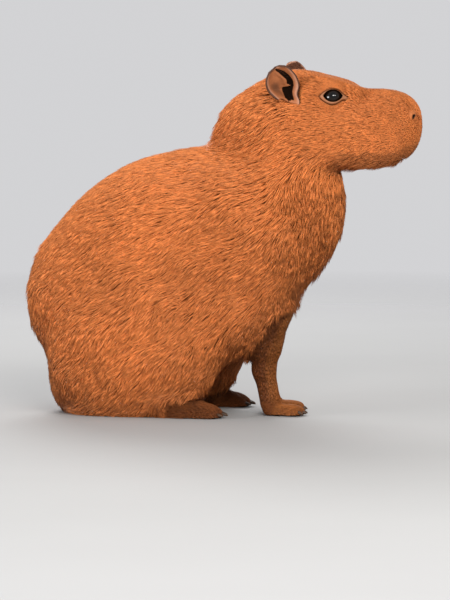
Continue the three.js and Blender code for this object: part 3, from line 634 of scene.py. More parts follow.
class Shader:
    """A short way to build the nodes of one material. A text stands for the attribute of that name."""

    def __init__(self, name):
        self.material = bpy.data.materials.new(name)
        self.material.use_nodes = True
        self.nodes = self.material.node_tree.nodes
        self.surface = self.nodes["Principled BSDF"]

    def link(self, value, socket):
        if isinstance(value, str):
            value = self.node("Attribute", "Fac", attribute_name=value)
        if isinstance(value, bpy.types.NodeSocket):
            self.material.node_tree.links.new(value, socket)
        elif isinstance(value, tuple) and len(value) == 3 and socket.type == "RGBA":
            socket.default_value = (*value, 1)
        else:
            socket.default_value = value

    def node(self, kind, output, inputs=(), **settings):
        """One output of a new node, with its settings and what goes into it."""
        node = self.nodes.new("ShaderNode" + kind)
        for name, value in settings.items():
            setattr(node, name, value)
        for name, value in dict(inputs).items():
            self.link(value, node.inputs[name])
        return node.outputs[output]

    def place(self):
        return self.node("TexCoord", "Object")

    def noise(self, scale, detail=3.0, roughness=0.5, stretch=None):
        place = self.place()
        if stretch:
            place = self.node("Mapping", "Vector", {"Vector": place, "Scale": stretch})
        inputs = {"Vector": place, "Scale": scale, "Detail": detail, "Roughness": roughness}
        return self.node("TexNoise", "Fac", inputs)

    def curve(self, value, low, high, to_low=0.0, to_high=1.0):
        inputs = {"Value": value, "From Min": low, "From Max": high, "To Min": to_low, "To Max": to_high}
        return self.node("MapRange", "Result", inputs)

    def maths(self, operation, a, b):
        return self.node("Math", "Value", {0: a, 1: b}, operation=operation)

    def mix(self, share, a, b, blend="MIX"):
        inputs = {"Factor": share, "A": a, "B": b}
        return self.node("Mix", "Result", inputs, data_type="RGBA", blend_type=blend)

    def times(self, a, b, share=1.0):
        return self.mix(share, a, b, "MULTIPLY")

    def mottled(self, noise, a, b, low=0.3, high=0.7):
        """Two colours in patches, by a noise."""
        return self.mix(self.curve(noise, low, high), a, b)

    def bump(self, height, distance, strength):
        inputs = {"Strength": strength, "Distance": distance, "Height": height}
        self.link(self.node("Bump", "Normal", inputs), self.surface.inputs["Normal"])

    def finish(self, colour, roughness, gloss):
        for name, value in (("Base Color", colour), ("Roughness", roughness), ("Specular IOR Level", gloss)):
            self.link(value, self.surface.inputs[name])
        return self.material


def coat_colour(shader):
    """The markings, the painted shade underneath, the painted highlight down the front of the legs, and the
    broad changes of tone, for both the skin and the coat.
    """
    dark, pale = (tuple(share * v for v in COAT) for share in (0.9, 1.08))
    colour = shader.mottled(shader.noise(5.5, 2.0), dark, pale, 0.35, 0.65)
    # Painted shade underneath.
    colour = shader.mix("underside_shade", colour, UNDERSIDE_SHADE)
    # The dark legs, with a painted highlight down their front.
    return shader.mix("dark_leg", colour, shader.mix("leg_front_highlight", LEG, LEG_FRONT_HIGHLIGHT))


def skin_material():
    shader = Shader("skin")
    fine = shader.curve(shader.noise(260), 0.3, 0.7, 0.15, 0.6)
    colour = shader.times(coat_colour(shader), (0.30, 0.30, 0.30), fine)
    bare = shader.mottled(shader.noise(180), (0.045, 0.022, 0.013), (0.08, 0.041, 0.025), 0.35, 0.65)
    # Bare skin and lid rims in their own colours, then painted shade in the nostrils, the mouth line and the
    # lid folds.
    for name, other in (("bare", bare), ("lid", LID), ("hollow", HOLLOW_SHADE)):
        colour = shader.mix(name, colour, other)
    gloss = shader.curve(shader.maths("MAXIMUM", "hollow", "bare"), 0.0, 1.0, 0.3, 0.0)
    pores = shader.maths("ADD", shader.noise(420, 4.0), shader.maths("MULTIPLY", shader.noise(90, 2.0), 1.2))
    shader.bump(pores, 0.0006, 0.7)
    return shader.finish(colour, 0.62, gloss)


def hair_material(name, tint=WHITE):
    shader = Shader(name)
    low = shader.mix(shader.curve("tone", 0.0, 0.5), DARK_TUFT, WHITE)
    high = shader.mix(shader.curve("tone", 0.5, 1.0), WHITE, PALE_TUFT)
    tinted = shader.times(shader.times(shader.times(coat_colour(shader), tint), low), high)
    tinted = shader.times(tinted, (0.36, 0.31, 0.28), shader.curve("along", 0.0, 0.55, 0.55, 0.0))
    tips = shader.mix(shader.curve("along", 0.5, 1.0), WHITE, PALE_TIP)
    return shader.finish(shader.times(tinted, tips), 0.56, 0.3)


def claw_material():
    shader = Shader("claw_horn")
    grain = shader.noise(120, 3.0, 0.6, (1, 6, 6))
    horn = shader.mottled(grain, (0.024, 0.012, 0.007), (0.052, 0.027, 0.015))
    horn = shader.mix(shader.curve("along", 0.3, 1.0, 0.0, 0.4), horn, (0.12, 0.066, 0.036))
    shader.bump(grain, 0.0003, 0.5)
    return shader.finish(horn, 0.5, 0.25)


def ear_material():
    shader = Shader("ear_skin")
    skin = shader.mottled(shader.noise(70, 4.0), (0.25, 0.08, 0.027), (0.35, 0.118, 0.042))
    # Painted shade: darker low to the rear of the ear's front and over the middle of its back.
    skin = shader.mix("shade", skin, (0.13, 0.046, 0.018))
    skin = shader.mix(shader.curve("rim", 0.25, 0.6), skin, (0.36, 0.165, 0.095))
    skin = shader.mix(shader.curve("rim", 0.84, 0.93), skin, (0.07, 0.026, 0.012))
    # Painted shade: near black in the hollow inside the front of the ear.
    dark = shader.curve("inner_shade", 0.3, 0.75)
    skin = shader.mix(dark, skin, (0.008, 0.004, 0.0025))
    shader.bump(shader.maths("ADD", shader.noise(300, 4.0), shader.noise(60, 2.0)), 0.0006, 0.6)
    return shader.finish(skin, 0.6, shader.curve(dark, 0.0, 1.0, 0.3, 0.0))


def eye_material():
    shader = Shader("eye_wet")
    iris = shader.mottled(shader.noise(420, 3.0, 0.6), (0.003, 0.0014, 0.0007), (0.008, 0.0035, 0.0015))
    colour = shader.mix(shader.curve("off_axis", 0.27, 0.33), (0.0005, 0.0004, 0.0003), iris)
    colour = shader.mix(shader.curve("off_axis", 0.58, 0.72), colour, (0.0012, 0.0008, 0.0007))
    return shader.finish(colour, 0.04, 0.32)


BOTH = (("left", 1), ("right", -1))


def finish_piece(piece, slot, *nodes):
    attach(piece, "root")
    if nodes:
        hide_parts(*nodes)


FLESH_NODES = ["chest", "rump", "neck", "head"] + [
    f"{part}_{side}" for part in ("thigh", "foreleg", "forefoot", "hind_foot") for side, _ in BOTH
]


def lids(p):
    """Distances from the edge of the lids and from the edge of their opening, far from the eye at 50."""
    fore, up, out = eye_place(*folded(p))
    return [np.where(out > 0, d, 50) for d in (lid_edge(fore, up), lens_distance(fore, up, LID_OPENING))]


def lid_clearance(p):
    """Distance from the edge of the lids, less in front, where the hair lies toward the eye."""
    return lids(p)[0] - 4 * smooth(10, 26, eye_place(*folded(p))[0])


def bare_share(p):
    """Where the skin has no hair: round the nostrils, on the lips, under the ears and on the soles."""
    x, z = p[:, 0], p[:, 2]
    nostril = below(0.5, 2.0, nostril_distance(*folded(p)))
    lips = below(1.2, 3.2, mouth_distance(x, z)) * smooth(280, 296, x)
    under_ear = below(14.5, 19, ear_clearance(p))
    return np.maximum.reduce([nostril, lips, under_ear, below(*SOLE_SKIN, z)])


def lid_share(p):
    """The bare rim of the lids."""
    return below(-1.2, 0.4, lids(p)[0])


def hollow_shade_share(p):
    """Where shade is painted dark: in the nostrils, the mouth line, the folds round the lids and behind them.
    """
    x, z = p[:, 0], p[:, 2]
    outer, opening = lids(p)
    nostril = below(0.0, 1.2, nostril_distance(*folded(p)))
    mouth = below(0.4, 1.8, mouth_distance(x, z)) * smooth(280, 292, x)
    fold = bell(outer, 0.9, 1.25)
    # Painted shade inside the lids' opening and where the skin meets the eye.
    inner_shade = np.maximum(below(-0.6, 0.9, opening), (eye_distance(p) < EYE_RADIUS + 1.2) * 1.0)
    return np.maximum.reduce([nostril, mouth, fold, inner_shade])


def make_skin():
    grid = [lines(spans) for spans in (GRID_X, GRID_Y, GRID_Z)]
    points, quads = surface_nets(sampled(grounded_distance, grid), grid)
    points = to_height(points.astype(np.float32), 0, grounded_distance, rounds=2)
    skin = new_mesh("skin", points, quads, skin_material())
    mark(skin, points, MARKINGS_AND_PAINTED_LIGHT)
    mark(skin, points, {"bare": bare_share, "lid": lid_share, "hollow": hollow_shade_share})
    finish_piece(skin, "coat", *FLESH_NODES)
    return points, quads


# The coat's tufts: length and width by region, how thickly they grow, their shape, the gaps that
# they leave at the lids and the ears, and how many make a lock and how far it reaches.
LENGTHS = {"body": 40, "head": 15, "muzzle": 8, "leg": 12, "foot": 7, "lid": 4}
WIDTHS = {"body": 2.5, "head": 1.4, "muzzle": 1.0, "leg": 1.5, "foot": 1.1, "lid": 0.75}
LAYERS = {"body": 4.6, "head": 3.2, "muzzle": 2.8, "leg": 2.5, "foot": 2.2, "lid": 2.0}
TUFT_POINTS = 7
TUFT_FACES = np.array([
    (0, 2, 1), (0, 1, 4), (0, 4, 3), (0, 3, 5), (0, 5, 2),
    (1, 2, 5), (1, 5, 4), (3, 6, 5), (5, 6, 4), (4, 6, 3),
])
TUFT_ALONG = [0, 0, 0, 0.5, 0.5, 0.5, 1]
TUFT_MIDDLE = 0.45
TUFT_PATCH = 0.003
TUFT_CORNERS = np.array([(-0.5, -0.5), (0.5, -0.5), (0, -0.5), (-0.35, 0), (0.35, 0), (0, 0), (0, 0.5)])
MOST_TUFTS = 19500
TUFT_LOWEST = 0.4
LID_GAP = 1.8
EAR_GAP = 17.5
LOCK_TUFTS = 9
LOCK_REACH = 30

# Where the drawing's outline breaks into points, in the side view: x, z, reach and strength.
BREAKS = [
    (14, 597, 34, 0.9), (-8, 572, 30, 1.0), (-25, 546, 26, 0.9), (-340, 340, 40, 1.0), (-383, 187, 40, 1.0),
    (-372, 260, 60, 0.5), (-318, 12, 40, 0.9), (236, 440, 26, 0.8), (240, 408, 30, 1.0), (236, 375, 34, 0.9),
    (222, 330, 40, 0.7), (200, 292, 40, 0.9), (172, 262, 36, 0.8), (268, 462, 26, 1.0), (302, 458, 30, 1.0),
    (334, 470, 26, 0.9),
]
SPIKE = 11
SPIKE_SHARE = 0.45


def face_share(p):
    return smooth(90, 200, p[:, 0]) * smooth(450, 540, p[:, 2])


def foot_share(p, full, none):
    """The four feet, up to a height."""
    x, wide, z = folded(p)
    return smooth(-130, -80, x) * below(full, none, z) * ((x > 40) | (wide > 96))


def by_region(p, values):
    """A value of the coat at each point, from the values of the regions."""
    return blended(
        values["body"],
        (values["head"], face_share(p)),
        (values["muzzle"], smooth(250, 350, p[:, 0]) * (p[:, 2] > 430)),
        (values["leg"], dark_leg_share(p)),
        (values["foot"], foot_share(p, 18, 44)),
        (values["lid"], below(28, 38, eye_distance(p))),
    )


def ear_clearance(p):
    """Distance from the open side of the nearer ear, where short hair leaves the ear free."""
    return ball_distance(EAR_MOUTH, *folded(p))


def long_share(length):
    """0 for hair as short as on the muzzle, 1 for hair as long as on the body."""
    return clamp01((length - LENGTHS["muzzle"]) / (LENGTHS["body"] - LENGTHS["muzzle"]))


def hair_length(p):
    """Length of the tufts: as in the region, but shorter at the ears and over the dark legs."""
    full = by_region(p, LENGTHS)
    fringe = 0.35 * below(20, 60, over_fringe(p)) * long_share(full)
    return full * (1 - fringe) * (0.4 + 0.6 * smooth(20, 38, ear_clearance(p)))


def over_fringe(p):
    """Height over the line where the coat ends on the legs, far from them at 200."""
    x, wide, z = folded(p)
    back = foreleg_x(x, p[:, 1])
    fore = (back > 46) & (back < 175) & (wide < 110)
    hind = (x > -105) & (x < 20) & (wide > 90) & (z < 130)
    over = np.where(fore, z - line_height(back, FRINGE_LINE), 200)
    return np.where(hind, z - line_height(x, HIND_LINE), over)


def breaks(p):
    """How far the coat stands out in points: at the drawing's breaks and over the dark legs."""
    made = np.zeros(len(p))
    for x, z, reach, strength in BREAKS:
        square = (p[:, 0] - x) ** 2 + (p[:, 2] - z) ** 2
        made = np.maximum(made, strength * np.exp(-square / (0.6 * reach) ** 2))
    return np.maximum(made, 0.6 * bell(over_fringe(p), 10, 14))


def lie(p, normal):
    """The way the hair lies, along the skin: back from the nose, down the sides and the legs."""
    x, y, z = p.T
    side = np.sign(y) * smooth(0, 40, np.abs(y))
    ones = np.ones_like(x)
    low = below(120, 330, z)
    chest = smooth(60, 180, x) * below(430, 540, z)
    chin = smooth(240, 300, x) * below(470, 500, z) * (z > 420)
    ways = (
        ((-0.25 * ones, 0.18 * side, -ones), chest),
        ((-ones, 0.10 * side, -0.12 + 0.35 * smooth(560, 620, z)), face_share(p)),
        ((-ones, 0.05 * side, -0.2 * ones), chin),
        ((-0.12 * ones, 0 * ones, -ones), dark_leg_share(p)),
        ((ones, 0 * ones, -0.3 * ones), foot_share(p, 16, 40)),
    )
    trunk = np.stack([-0.85 * ones, 0.12 * side, -0.5 - 0.5 * low], 1)
    flow = blended(trunk, *((np.stack(way, 1), share[:, None]) for way, share in ways))
    flow -= normal * (flow * normal).sum(1, keepdims=True)
    return unit(flow)


def waves(p, seed, size):
    """A slow, seeded change over the body, from -1 to 1."""
    rng = np.random.default_rng(seed)
    total = np.zeros(len(p))
    for _ in range(6):
        direction = rng.normal(size=3)
        direction *= 2 * math.pi / (size * np.linalg.norm(direction) * rng.uniform(0.7, 1.4))
        total += np.sin(p @ direction + rng.uniform(0, 2 * math.pi))
    return total / 3


def weighed(a, b, c, u, v):
    """Places in triangles, from the shares of their second and third corners."""
    return a * (1 - u - v)[:, None] + b * u[:, None] + c * v[:, None]


def scattered(points, triangles, rng):
    """Roots spread over the skin, as thickly as the coat's length and width there need."""
    a, b, c = (points[triangles[:, n]] for n in range(3))
    cross = np.cross(b - a, c - a)
    area = np.linalg.norm(cross, axis=1) / 2
    centre = (a + b + c) / 3
    leaf = hair_length(centre) * by_region(centre, WIDTHS) / 2
    wanted = area * by_region(centre, LAYERS) / leaf
    normal = cross / np.maximum(2 * area, 1e-9)[:, None]
    hidden = (centre[:, 2] < SOLE_SKIN[0]) | (hollow_shade_share(centre) > 0.25) | (bare_share(centre) > 0.5)
    wanted[hidden | (lid_clearance(centre) < LID_GAP) | (ear_clearance(centre) < EAR_GAP)] = 0
    upto = np.cumsum(wanted)
    count = int(upto[-1])
    ticks = (np.arange(count) + rng.random(count)) * upto[-1] / count
    chosen = np.searchsorted(upto, ticks)
    u, v = rng.random(count), rng.random(count)
    over = u + v > 1
    u[over], v[over] = 1 - u[over], 1 - v[over]
    return weighed(a[chosen], b[chosen], c[chosen], u, v), normal[chosen]


def clumps(root, rng):
    """For each tuft the leader of its lock, and whether that is near."""
    leaders = rng.permutation(len(root))[: len(root) // LOCK_TUFTS]
    tree = KDTree(len(leaders))
    for n, index in enumerate(leaders):
        tree.insert(root[index], n)
    tree.balance()
    nearest = leaders[[tree.find(p)[1] for p in root]]
    return nearest, np.linalg.norm(root[nearest] - root, axis=1) < LOCK_REACH


def read(items, name, size, kind):
    """One property of the parts of a mesh, with a row for each part."""
    values = np.empty(len(items) * size, kind)
    items.foreach_get(name, values)
    return values.reshape(-1, size)


# The unwrap: how much of the skin's mesh it keeps, the sharpest bend in an island, and the gap.
UNWRAP_SHARE = 0.05
UNWRAP_ANGLE = 66
UNWRAP_GAP = 0.003


def unwrap(points, quads):
    """An unwrap of the skin's own shape on a coarse copy of it, and a search tree for its faces."""
    coarse = new_mesh("unwrap", points, quads, None)
    thin = coarse.modifiers.new("thin", "DECIMATE")
    thin.ratio = UNWRAP_SHARE
    bpy.context.view_layer.update()
    thinned = coarse.evaluated_get(bpy.context.evaluated_depsgraph_get())
    thinned = bpy.data.meshes.new_from_object(thinned)
    coarse.modifiers.clear()
    coarse.data = thinned
    bpy.context.view_layer.objects.active = coarse
    coarse.select_set(True)
    bpy.ops.object.mode_set(mode="EDIT")
    bpy.ops.mesh.select_all(action="SELECT")
    bpy.ops.mesh.quads_convert_to_tris()
    bpy.ops.uv.smart_project(angle_limit=math.radians(UNWRAP_ANGLE), island_margin=UNWRAP_GAP)
    bpy.ops.object.mode_set(mode="OBJECT")
    mesh = coarse.data
    corners = read(mesh.uv_layers.active.uv, "vector", 2, np.float32)
    places = read(mesh.vertices, "co", 3, np.float32) / MM
    faces = read(mesh.loops, "vertex_index", 1, np.int32).reshape(-1, 3)
    tree = BVHTree.FromPolygons([Vector(p) for p in places], faces.tolist())
    bpy.data.objects.remove(coarse)
    return tree, places, faces, corners.reshape(-1, 3, 2)


def unwrapped(root, chart):
    """The place of each root on the unwrap."""
    tree, places, faces, corners = chart
    found = [tree.find_nearest(Vector(p)) for p in root]
    near = np.array([f[0] for f in found])
    hit = np.array([f[2] for f in found])
    a, b, c = (places[faces[hit, n]] for n in range(3))
    ab, ac, ap = b - a, c - a, near - a
    d00, d01, d11 = (ab * ab).sum(1), (ab * ac).sum(1), (ac * ac).sum(1)
    d20, d21 = (ap * ab).sum(1), (ap * ac).sum(1)
    scale = np.maximum(d00 * d11 - d01 * d01, 1e-9)
    v = clamp01((d11 * d20 - d01 * d21) / scale)
    w = clamp01((d00 * d21 - d01 * d20) / scale)
    return weighed(*(corners[hit, n] for n in range(3)), v, w)


def tuft_points(root, normal, along, middle, tip, width):
    """Seven points for each tuft: a three-sided root and middle, and the tip."""
    side = unit(np.cross(normal, along))
    half = (width / 2)[:, None]
    ridge = normal * half * 0.9
    sunk = root - normal * 1.2
    return np.stack([
        sunk - side * half, sunk + side * half, sunk + ridge,
        middle - side * half * 0.85, middle + side * half * 0.85, middle + ridge,
        tip,
    ], 1)


def coat_piece(name, points, tone, root, uv, material):
    """One joined mesh of tufts."""
    count = len(points)
    faces = (np.arange(count)[:, None, None] * TUFT_POINTS + TUFT_FACES).reshape(-1, 3)
    piece = new_mesh(name, points.reshape(-1, 3), faces, material)
    mark(piece, np.repeat(root, TUFT_POINTS, 0), MARKINGS_AND_PAINTED_LIGHT)
    set_attribute(piece, "tone", np.repeat(tone, TUFT_POINTS))
    set_attribute(piece, "along", np.tile(TUFT_ALONG, count))
    spots = uv[:, None, :] + TUFT_PATCH * TUFT_CORNERS
    layer = piece.data.uv_layers.new(name="OFBake")
    layer.uv.foreach_set("vector", spots.reshape(-1, 2)[faces.ravel()].astype(np.float32).ravel())
    finish_piece(piece, "coat")


def make_coat(points, quads, ears):
    """Tufts that lie along the skin and close up in locks, joined in pieces by region."""
    rng = np.random.default_rng(SEED)
    triangles = halves(quads)
    order = np.lexsort(np.round(points[triangles[:, 0]] / 12).T)
    root, normal = scattered(points, triangles[order], rng)
    count = len(root)
    leader, close = clumps(root, rng)
    loose = breaks(root)
    spike = loose * (rng.random(count) < SPIKE_SHARE)[leader] * rng.uniform(0.5, 1, count)[leader] * close
    long = long_share(by_region(root, LENGTHS))
    length = hair_length(root) * rng.uniform(0.8, 1.2, count) * (1 + spike * (0.7 - 0.5 * long))
    width = by_region(root, WIDTHS) * rng.uniform(0.75, 1.25, count)
    flat = (0.35 + 0.65 * smooth(18, 36, ear_clearance(root))) * (1 - 0.4 * dark_leg_share(root))
    depth = coat_depth(root) * flat
    along = lie(root, normal)
    side = np.cross(normal, along)
    sway = 0.22 * waves(root, SEED + 1, 90) + 0.12 * waves(root, SEED + 2, 30) + rng.normal(0, 0.11, count)
    sway *= 0.45 + 0.55 * long
    along = unit(along + side * sway[:, None])
    middle_height = depth * rng.uniform(0.45, 0.75, count) + 0.2 * SPIKE * spike
    tip_height = depth * rng.uniform(0.7, 1.1, count) + SPIKE * spike
    middle = root + along * (TUFT_MIDDLE * length)[:, None] + normal * middle_height[:, None]
    middle = to_height(middle, middle_height, plain_distance)
    onward = unit(lie(middle, normal) + side * sway[:, None])
    tip = middle + onward * ((1 - TUFT_MIDDLE) * length)[:, None]
    tip = to_height(tip, tip_height, plain_distance, rounds=2)
    pull = rng.uniform(0.15, 0.5, count) * (0.3 + 0.7 * long) + 0.45 * spike
    tip = tip + (tip[leader] - tip) * (np.minimum(pull, 0.9) * close)[:, None]
    tone = clamp01(0.5 + 0.2 * rng.normal(size=count) + 0.12 * waves(root, SEED + 3, 24))
    tufts = tuft_points(root, normal, along, middle, tip, width)
    tufts[:, :, 2] = np.maximum(tufts[:, :, 2], TUFT_LOWEST)
    chart = unwrap(*joined([(points, quads)] + [ear[:2] for ear in ears]))
    spots = unwrapped(root, chart)
    head = (root[:, 0] > 120) & (root[:, 2] > 500)
    low = dark_leg_share(root) > 0.5
    material, ear_hair = hair_material("coat_hair"), hair_material("ear_hair", EAR_TINT)
    for name, chosen in (("coat_head", head), ("coat_legs", low & ~head), ("coat_body", ~low & ~head)):
        index = rng.permutation(np.nonzero(chosen)[0])
        pieces = math.ceil(len(index) / MOST_TUFTS)
        for n in range(pieces):
            part = np.sort(index[n::pieces])
            coat_piece(f"{name}_{n + 1}", tufts[part], tone[part], root[part], spots[part], material)
    for (side_name, _), (_, _, (start, facing, way, half, end)) in zip(BOTH, ears):
        fine = tuft_points(start, facing, way, half, end, rng.uniform(0.7, 1.3, len(start)) * EAR_TUFT_WIDTH)
        shade = rng.uniform(0.1, 0.6, len(start))
        coat_piece(f"coat_ear_{side_name}", fine, shade, start, unwrapped(start, chart), ear_hair)


# The hollow of the ear, painted dark as shade: a height, and its edges to the rear and in front.
EAR_HOLLOW = [
    (0.04, 0.1, 0.16), (0.08, -0.1, 0.66), (0.2, 0, 0.76), (0.31, 0.06, 0.76), (0.345, 0.1, 0.76),
    (0.375, 0.64, 0.76), (0.44, 0.38, 0.77), (0.5, 0.42, 0.78), (0.56, 0.42, 0.77), (0.7, 0.2, 0.66),
    (0.8, 0.03, 0.52), (0.9, -0.28, 0.1), (0.94, -0.27, -0.21),
]

# The ears' grid, and the hair on their backs.
EAR_COLUMNS = 56
EAR_ROWS = 48
EAR_TUFTS = 2600
EAR_TUFT_WIDTH = 0.9


def ear_recess(across, up):
    """The hollow inside the front of the ear, which is painted dark as shade: the distance from its middle,
    and half its width.
    """
    rows, *edges = zip(*EAR_HOLLOW)
    rear, fore = (np.interp(up, rows, edge) for edge in edges)
    return across - (rear + fore) / 2, (fore - rear) / 2


def ear_point(across, up):
    """One point of the ear's middle sheet, as in the solids, and the relief of the folds inside."""
    round_top = np.sqrt(np.maximum(1 - (np.maximum(up - 0.5, 0) / 0.5) ** 2.2, 0))
    waist = 0.6 + 0.4 * np.sin(np.minimum(up, 0.5) * math.pi)
    swell = 1 + sum(share * bell(up, place, reach) for share, place, reach in EAR_SWELLS)
    width = np.where(across > 0, EAR_FRONT * swell, EAR_REAR)
    lobe = below(0.0, 0.3, up)
    sunk = (1 - across ** 2) * (0.35 + 0.65 * (1 - up)) * (1 - 0.75 * lobe)
    curl = EAR_CURL * np.maximum(0, across - 0.5) * (1 - up)
    lift = EAR_LIFT * bell(across, -0.6, 0.7) * (1 - up) ** 2
    height = EAR_HEIGHT * up - EAR_SLANT * np.minimum(across, 0.5 * across) * (1 - up) + lift
    beside, wide = ear_recess(across, up)
    recess = bell(beside, 0, wide)
    ridge = bell(beside, -1.5 * wide, 0.13) * smooth(0.3, 0.5, up) * below(0.7, 0.9, up)
    outward = curl + EAR_LOBE * lobe - EAR_CUP * sunk
    return np.stack([width * across * (round_top * waist), height, outward], -1), 2.2 * ridge - 1.8 * recess


def ear_frame(sign):
    """An ear's root and its directions. The left one leans back and stands a little higher."""
    left = sign > 0
    up = normed(EAR_UP * (1, sign, 1) + LEFT_EAR_LEAN * left)
    outward = EAR_FACING * (1, sign, 1)
    outward = normed(outward - up * (outward @ up))
    fore = np.cross(outward, up) if sign > 0 else np.cross(up, outward)
    return EAR_ROOT * (1, sign, 1) + (0, 0, LEFT_EAR_RISE * left), fore, up, outward


def make_ear(side, sign, material):
    """The ear's mesh, and the tufts on its back."""
    wide, high = EAR_COLUMNS + 1, EAR_ROWS + 1
    across, up = np.meshgrid(np.linspace(-1, 1, wide), 0.985 * np.linspace(0, 1, high) ** 0.9)
    local, fold = ear_point(across, up)
    root, fore, rise, outward = ear_frame(sign)
    sheet = root + local[..., :1] * fore + local[..., 1:2] * rise + local[..., 2:] * outward
    along_row = np.gradient(sheet, axis=1)
    along_column = np.gradient(sheet, axis=0)
    normal = unit(np.cross(along_row, along_column))
    rim = np.maximum(np.abs(across), smooth(0.7, 1, up)) ** 6
    thick = EAR_THICK * (1 - 0.35 * up) * (0.82 + 0.3 * rim)
    inward = 1 if normal[8, EAR_COLUMNS // 2] @ outward > 0 else -1
    front = sheet + normal * (inward * thick / 2 + inward * fold * (1 - rim))[..., None]
    back = sheet - normal * (inward * thick / 2)[..., None]
    offset = wide * high
    index = np.arange(offset).reshape(high, wide)
    edge = np.concatenate([index[0, :], index[1:, -1], index[-1, -2::-1], index[-2:0:-1, 0]])
    after = np.roll(edge, -1)
    rim_quads = np.stack([after, edge, edge + offset, after + offset], -1)
    faces = np.concatenate([cells(index), cells(index)[:, ::-1] + offset, rim_quads])
    if inward < 0:
        faces = faces[:, ::-1]
    points = np.concatenate([front.reshape(-1, 3), back.reshape(-1, 3)])
    ear = new_mesh(f"ear_{side}_skin", points, faces, material)
    # Painted shade on the ear: a darker patch low to the rear of the front, the middle of the back, and the
    # dark hollow of the cup.
    shade = np.exp(-((across + 0.42) / 0.34) ** 4 - ((up - 0.32) / 0.2) ** 4)
    beside, half = ear_recess(across, up)
    inner_shade = below(0.8, 1.15, np.abs(beside) / half)
    for name, *sides in (("inner_shade", inner_shade * (1 - rim), 0 * rim), ("shade", shade, 1 - rim), ("rim", rim, rim)):
        set_attribute(ear, name, np.ravel(sides))
    finish_piece(ear, "ear", f"ear_{side}")
    tufts = ear_tufts(back, normal * -inward, along_row, along_column, rim)
    return points, faces, tufts


def ear_tufts(back, normal, along_row, along_column, rim):
    """Roots, normals, directions, middles and tips of the short hair that lies up the ear's back."""
    rng = np.random.default_rng(SEED + 9)
    high, wide = rim.shape
    row = rng.uniform(3, high - 7, EAR_TUFTS)
    column = rng.uniform(2, wide - 3, EAR_TUFTS)
    i, j = row.astype(int), column.astype(int)
    u, v = (row - i)[:, None], (column - j)[:, None]

    def at(grid):
        low = grid[i, j] * (1 - v) + grid[i, j + 1] * v
        top = grid[i + 1, j] * (1 - v) + grid[i + 1, j + 1] * v
        return low * (1 - u) + top * u

    root, facing = at(back), unit(at(normal))
    rise, outward = unit(at(along_column)), unit(at(along_row))
    share = (column / (wide - 1) * 2 - 1)[:, None]
    along = unit(rise + 0.12 * outward * share + 0.12 * rng.normal(size=root.shape))
    length = rng.uniform(3.5, 7, EAR_TUFTS)[:, None]
    lift = rng.uniform(0.4, 1.0, EAR_TUFTS)[:, None]
    middle = root + along * 0.45 * length + facing * lift * 0.8
    return root, facing, along, middle, root + along * length + facing * lift


def make_eye(side, sign, material):
    """A ball with the low dome of the cornea, which looks along the eye's axis."""
    rings, sides = 48, 64
    polar = np.linspace(0, math.pi, rings + 1)[1:-1]
    turn = np.linspace(0, 2 * math.pi, sides, endpoint=False)
    angle, round_by = np.meshgrid(polar, turn, indexing="ij")
    radius = EYE_RADIUS - CORNEA / 2 + CORNEA * bell(angle, 0, 0.55)
    ball = np.stack([np.sin(angle) * np.cos(round_by), np.sin(angle) * np.sin(round_by), np.cos(angle)], -1)
    ball = (ball * radius[..., None]).reshape(-1, 3)
    ends = np.array([[0, 0, EYE_RADIUS + CORNEA / 2], [0, 0, -EYE_RADIUS + CORNEA / 2]])
    points = np.concatenate([ball, ends])
    index = tube(rings - 1, sides)
    top, bottom = len(ball), len(ball) + 1
    caps = [(top, index[0, n], index[0, n + 1]) for n in range(sides)]
    caps += [(bottom, index[-1, n + 1], index[-1, n]) for n in range(sides)]
    triangles = np.concatenate([halves(cells(index)[:, [0, 3, 2, 1]]), caps])
    basis = np.stack(eye_basis(EYE_AXIS * (1, sign, 1)))
    eye = new_mesh(f"eye_{side}_ball", points @ basis + EYE * (1, sign, 1), triangles, material)
    flat = np.hypot(points[:, 0] / 1.12, points[:, 1]) / EYE_RADIUS
    set_attribute(eye, "off_axis", np.where(points[:, 2] > 0, flat, 1.2))
    finish_piece(eye, "eye", f"eye_{side}")


CLAW_WIDTH = 8
CLAW_HEIGHT = 7
CLAW_ROOT = 7
CLAW_LOWEST = 0.3


def claw(length):
    """A stout claw that bends down to a blunt tip: its points, faces and share along it."""
    rings, sides = 10, 12
    share = np.linspace(0, 1, rings)
    turn = np.linspace(0, 2 * math.pi, sides, endpoint=False)
    size = np.sqrt(1 - 0.93 * share ** 2)
    y = CLAW_WIDTH / 2 * size[:, None] * np.cos(turn)
    z = CLAW_HEIGHT / 2 * size[:, None] * np.sin(turn) - 3.5 * share[:, None] ** 2
    z = z + 0.8 * size[:, None] * np.cos(turn) ** 2 * (np.sin(turn) < 0)
    x = np.repeat(share[:, None] * length, sides, 1)
    points = np.stack([x, y, z], -1).reshape(-1, 3)
    last = (rings - 1) * sides
    ends = [(0, n + 1, n) for n in range(1, sides - 1)]
    ends += [(last, last + n, last + n + 1) for n in range(1, sides - 1)]
    return points, np.concatenate([halves(cells(tube(rings, sides))), ends]), np.repeat(share, sides)


def make_claws(name, toes, sign, material):
    """The claws of one foot, each sunk into the front of its toe."""
    back = FORELEG_BACK if toes is FORE_TOES and sign > 0 else 0
    points, faces, along = claw(toes["claw"])
    parts = []
    for centre, length, yaw in toe_places(toes):
        angle = sign * math.radians(yaw)
        c, s = math.cos(angle), math.sin(angle)
        turned = (points + (length - CLAW_ROOT, 0, 1)) @ np.array([[c, s, 0], [-s, c, 0], [0, 0, 1]])
        parts.append((turned + np.array(centre) * (1, sign, 1) - (back, 0, 0), faces))
    points, faces = joined(parts)
    points[:, 2] = np.maximum(points[:, 2], CLAW_LOWEST)
    piece = new_mesh(name, points, faces, material)
    set_attribute(piece, "along", np.tile(along, toes["count"]))
    finish_piece(piece, "claw")


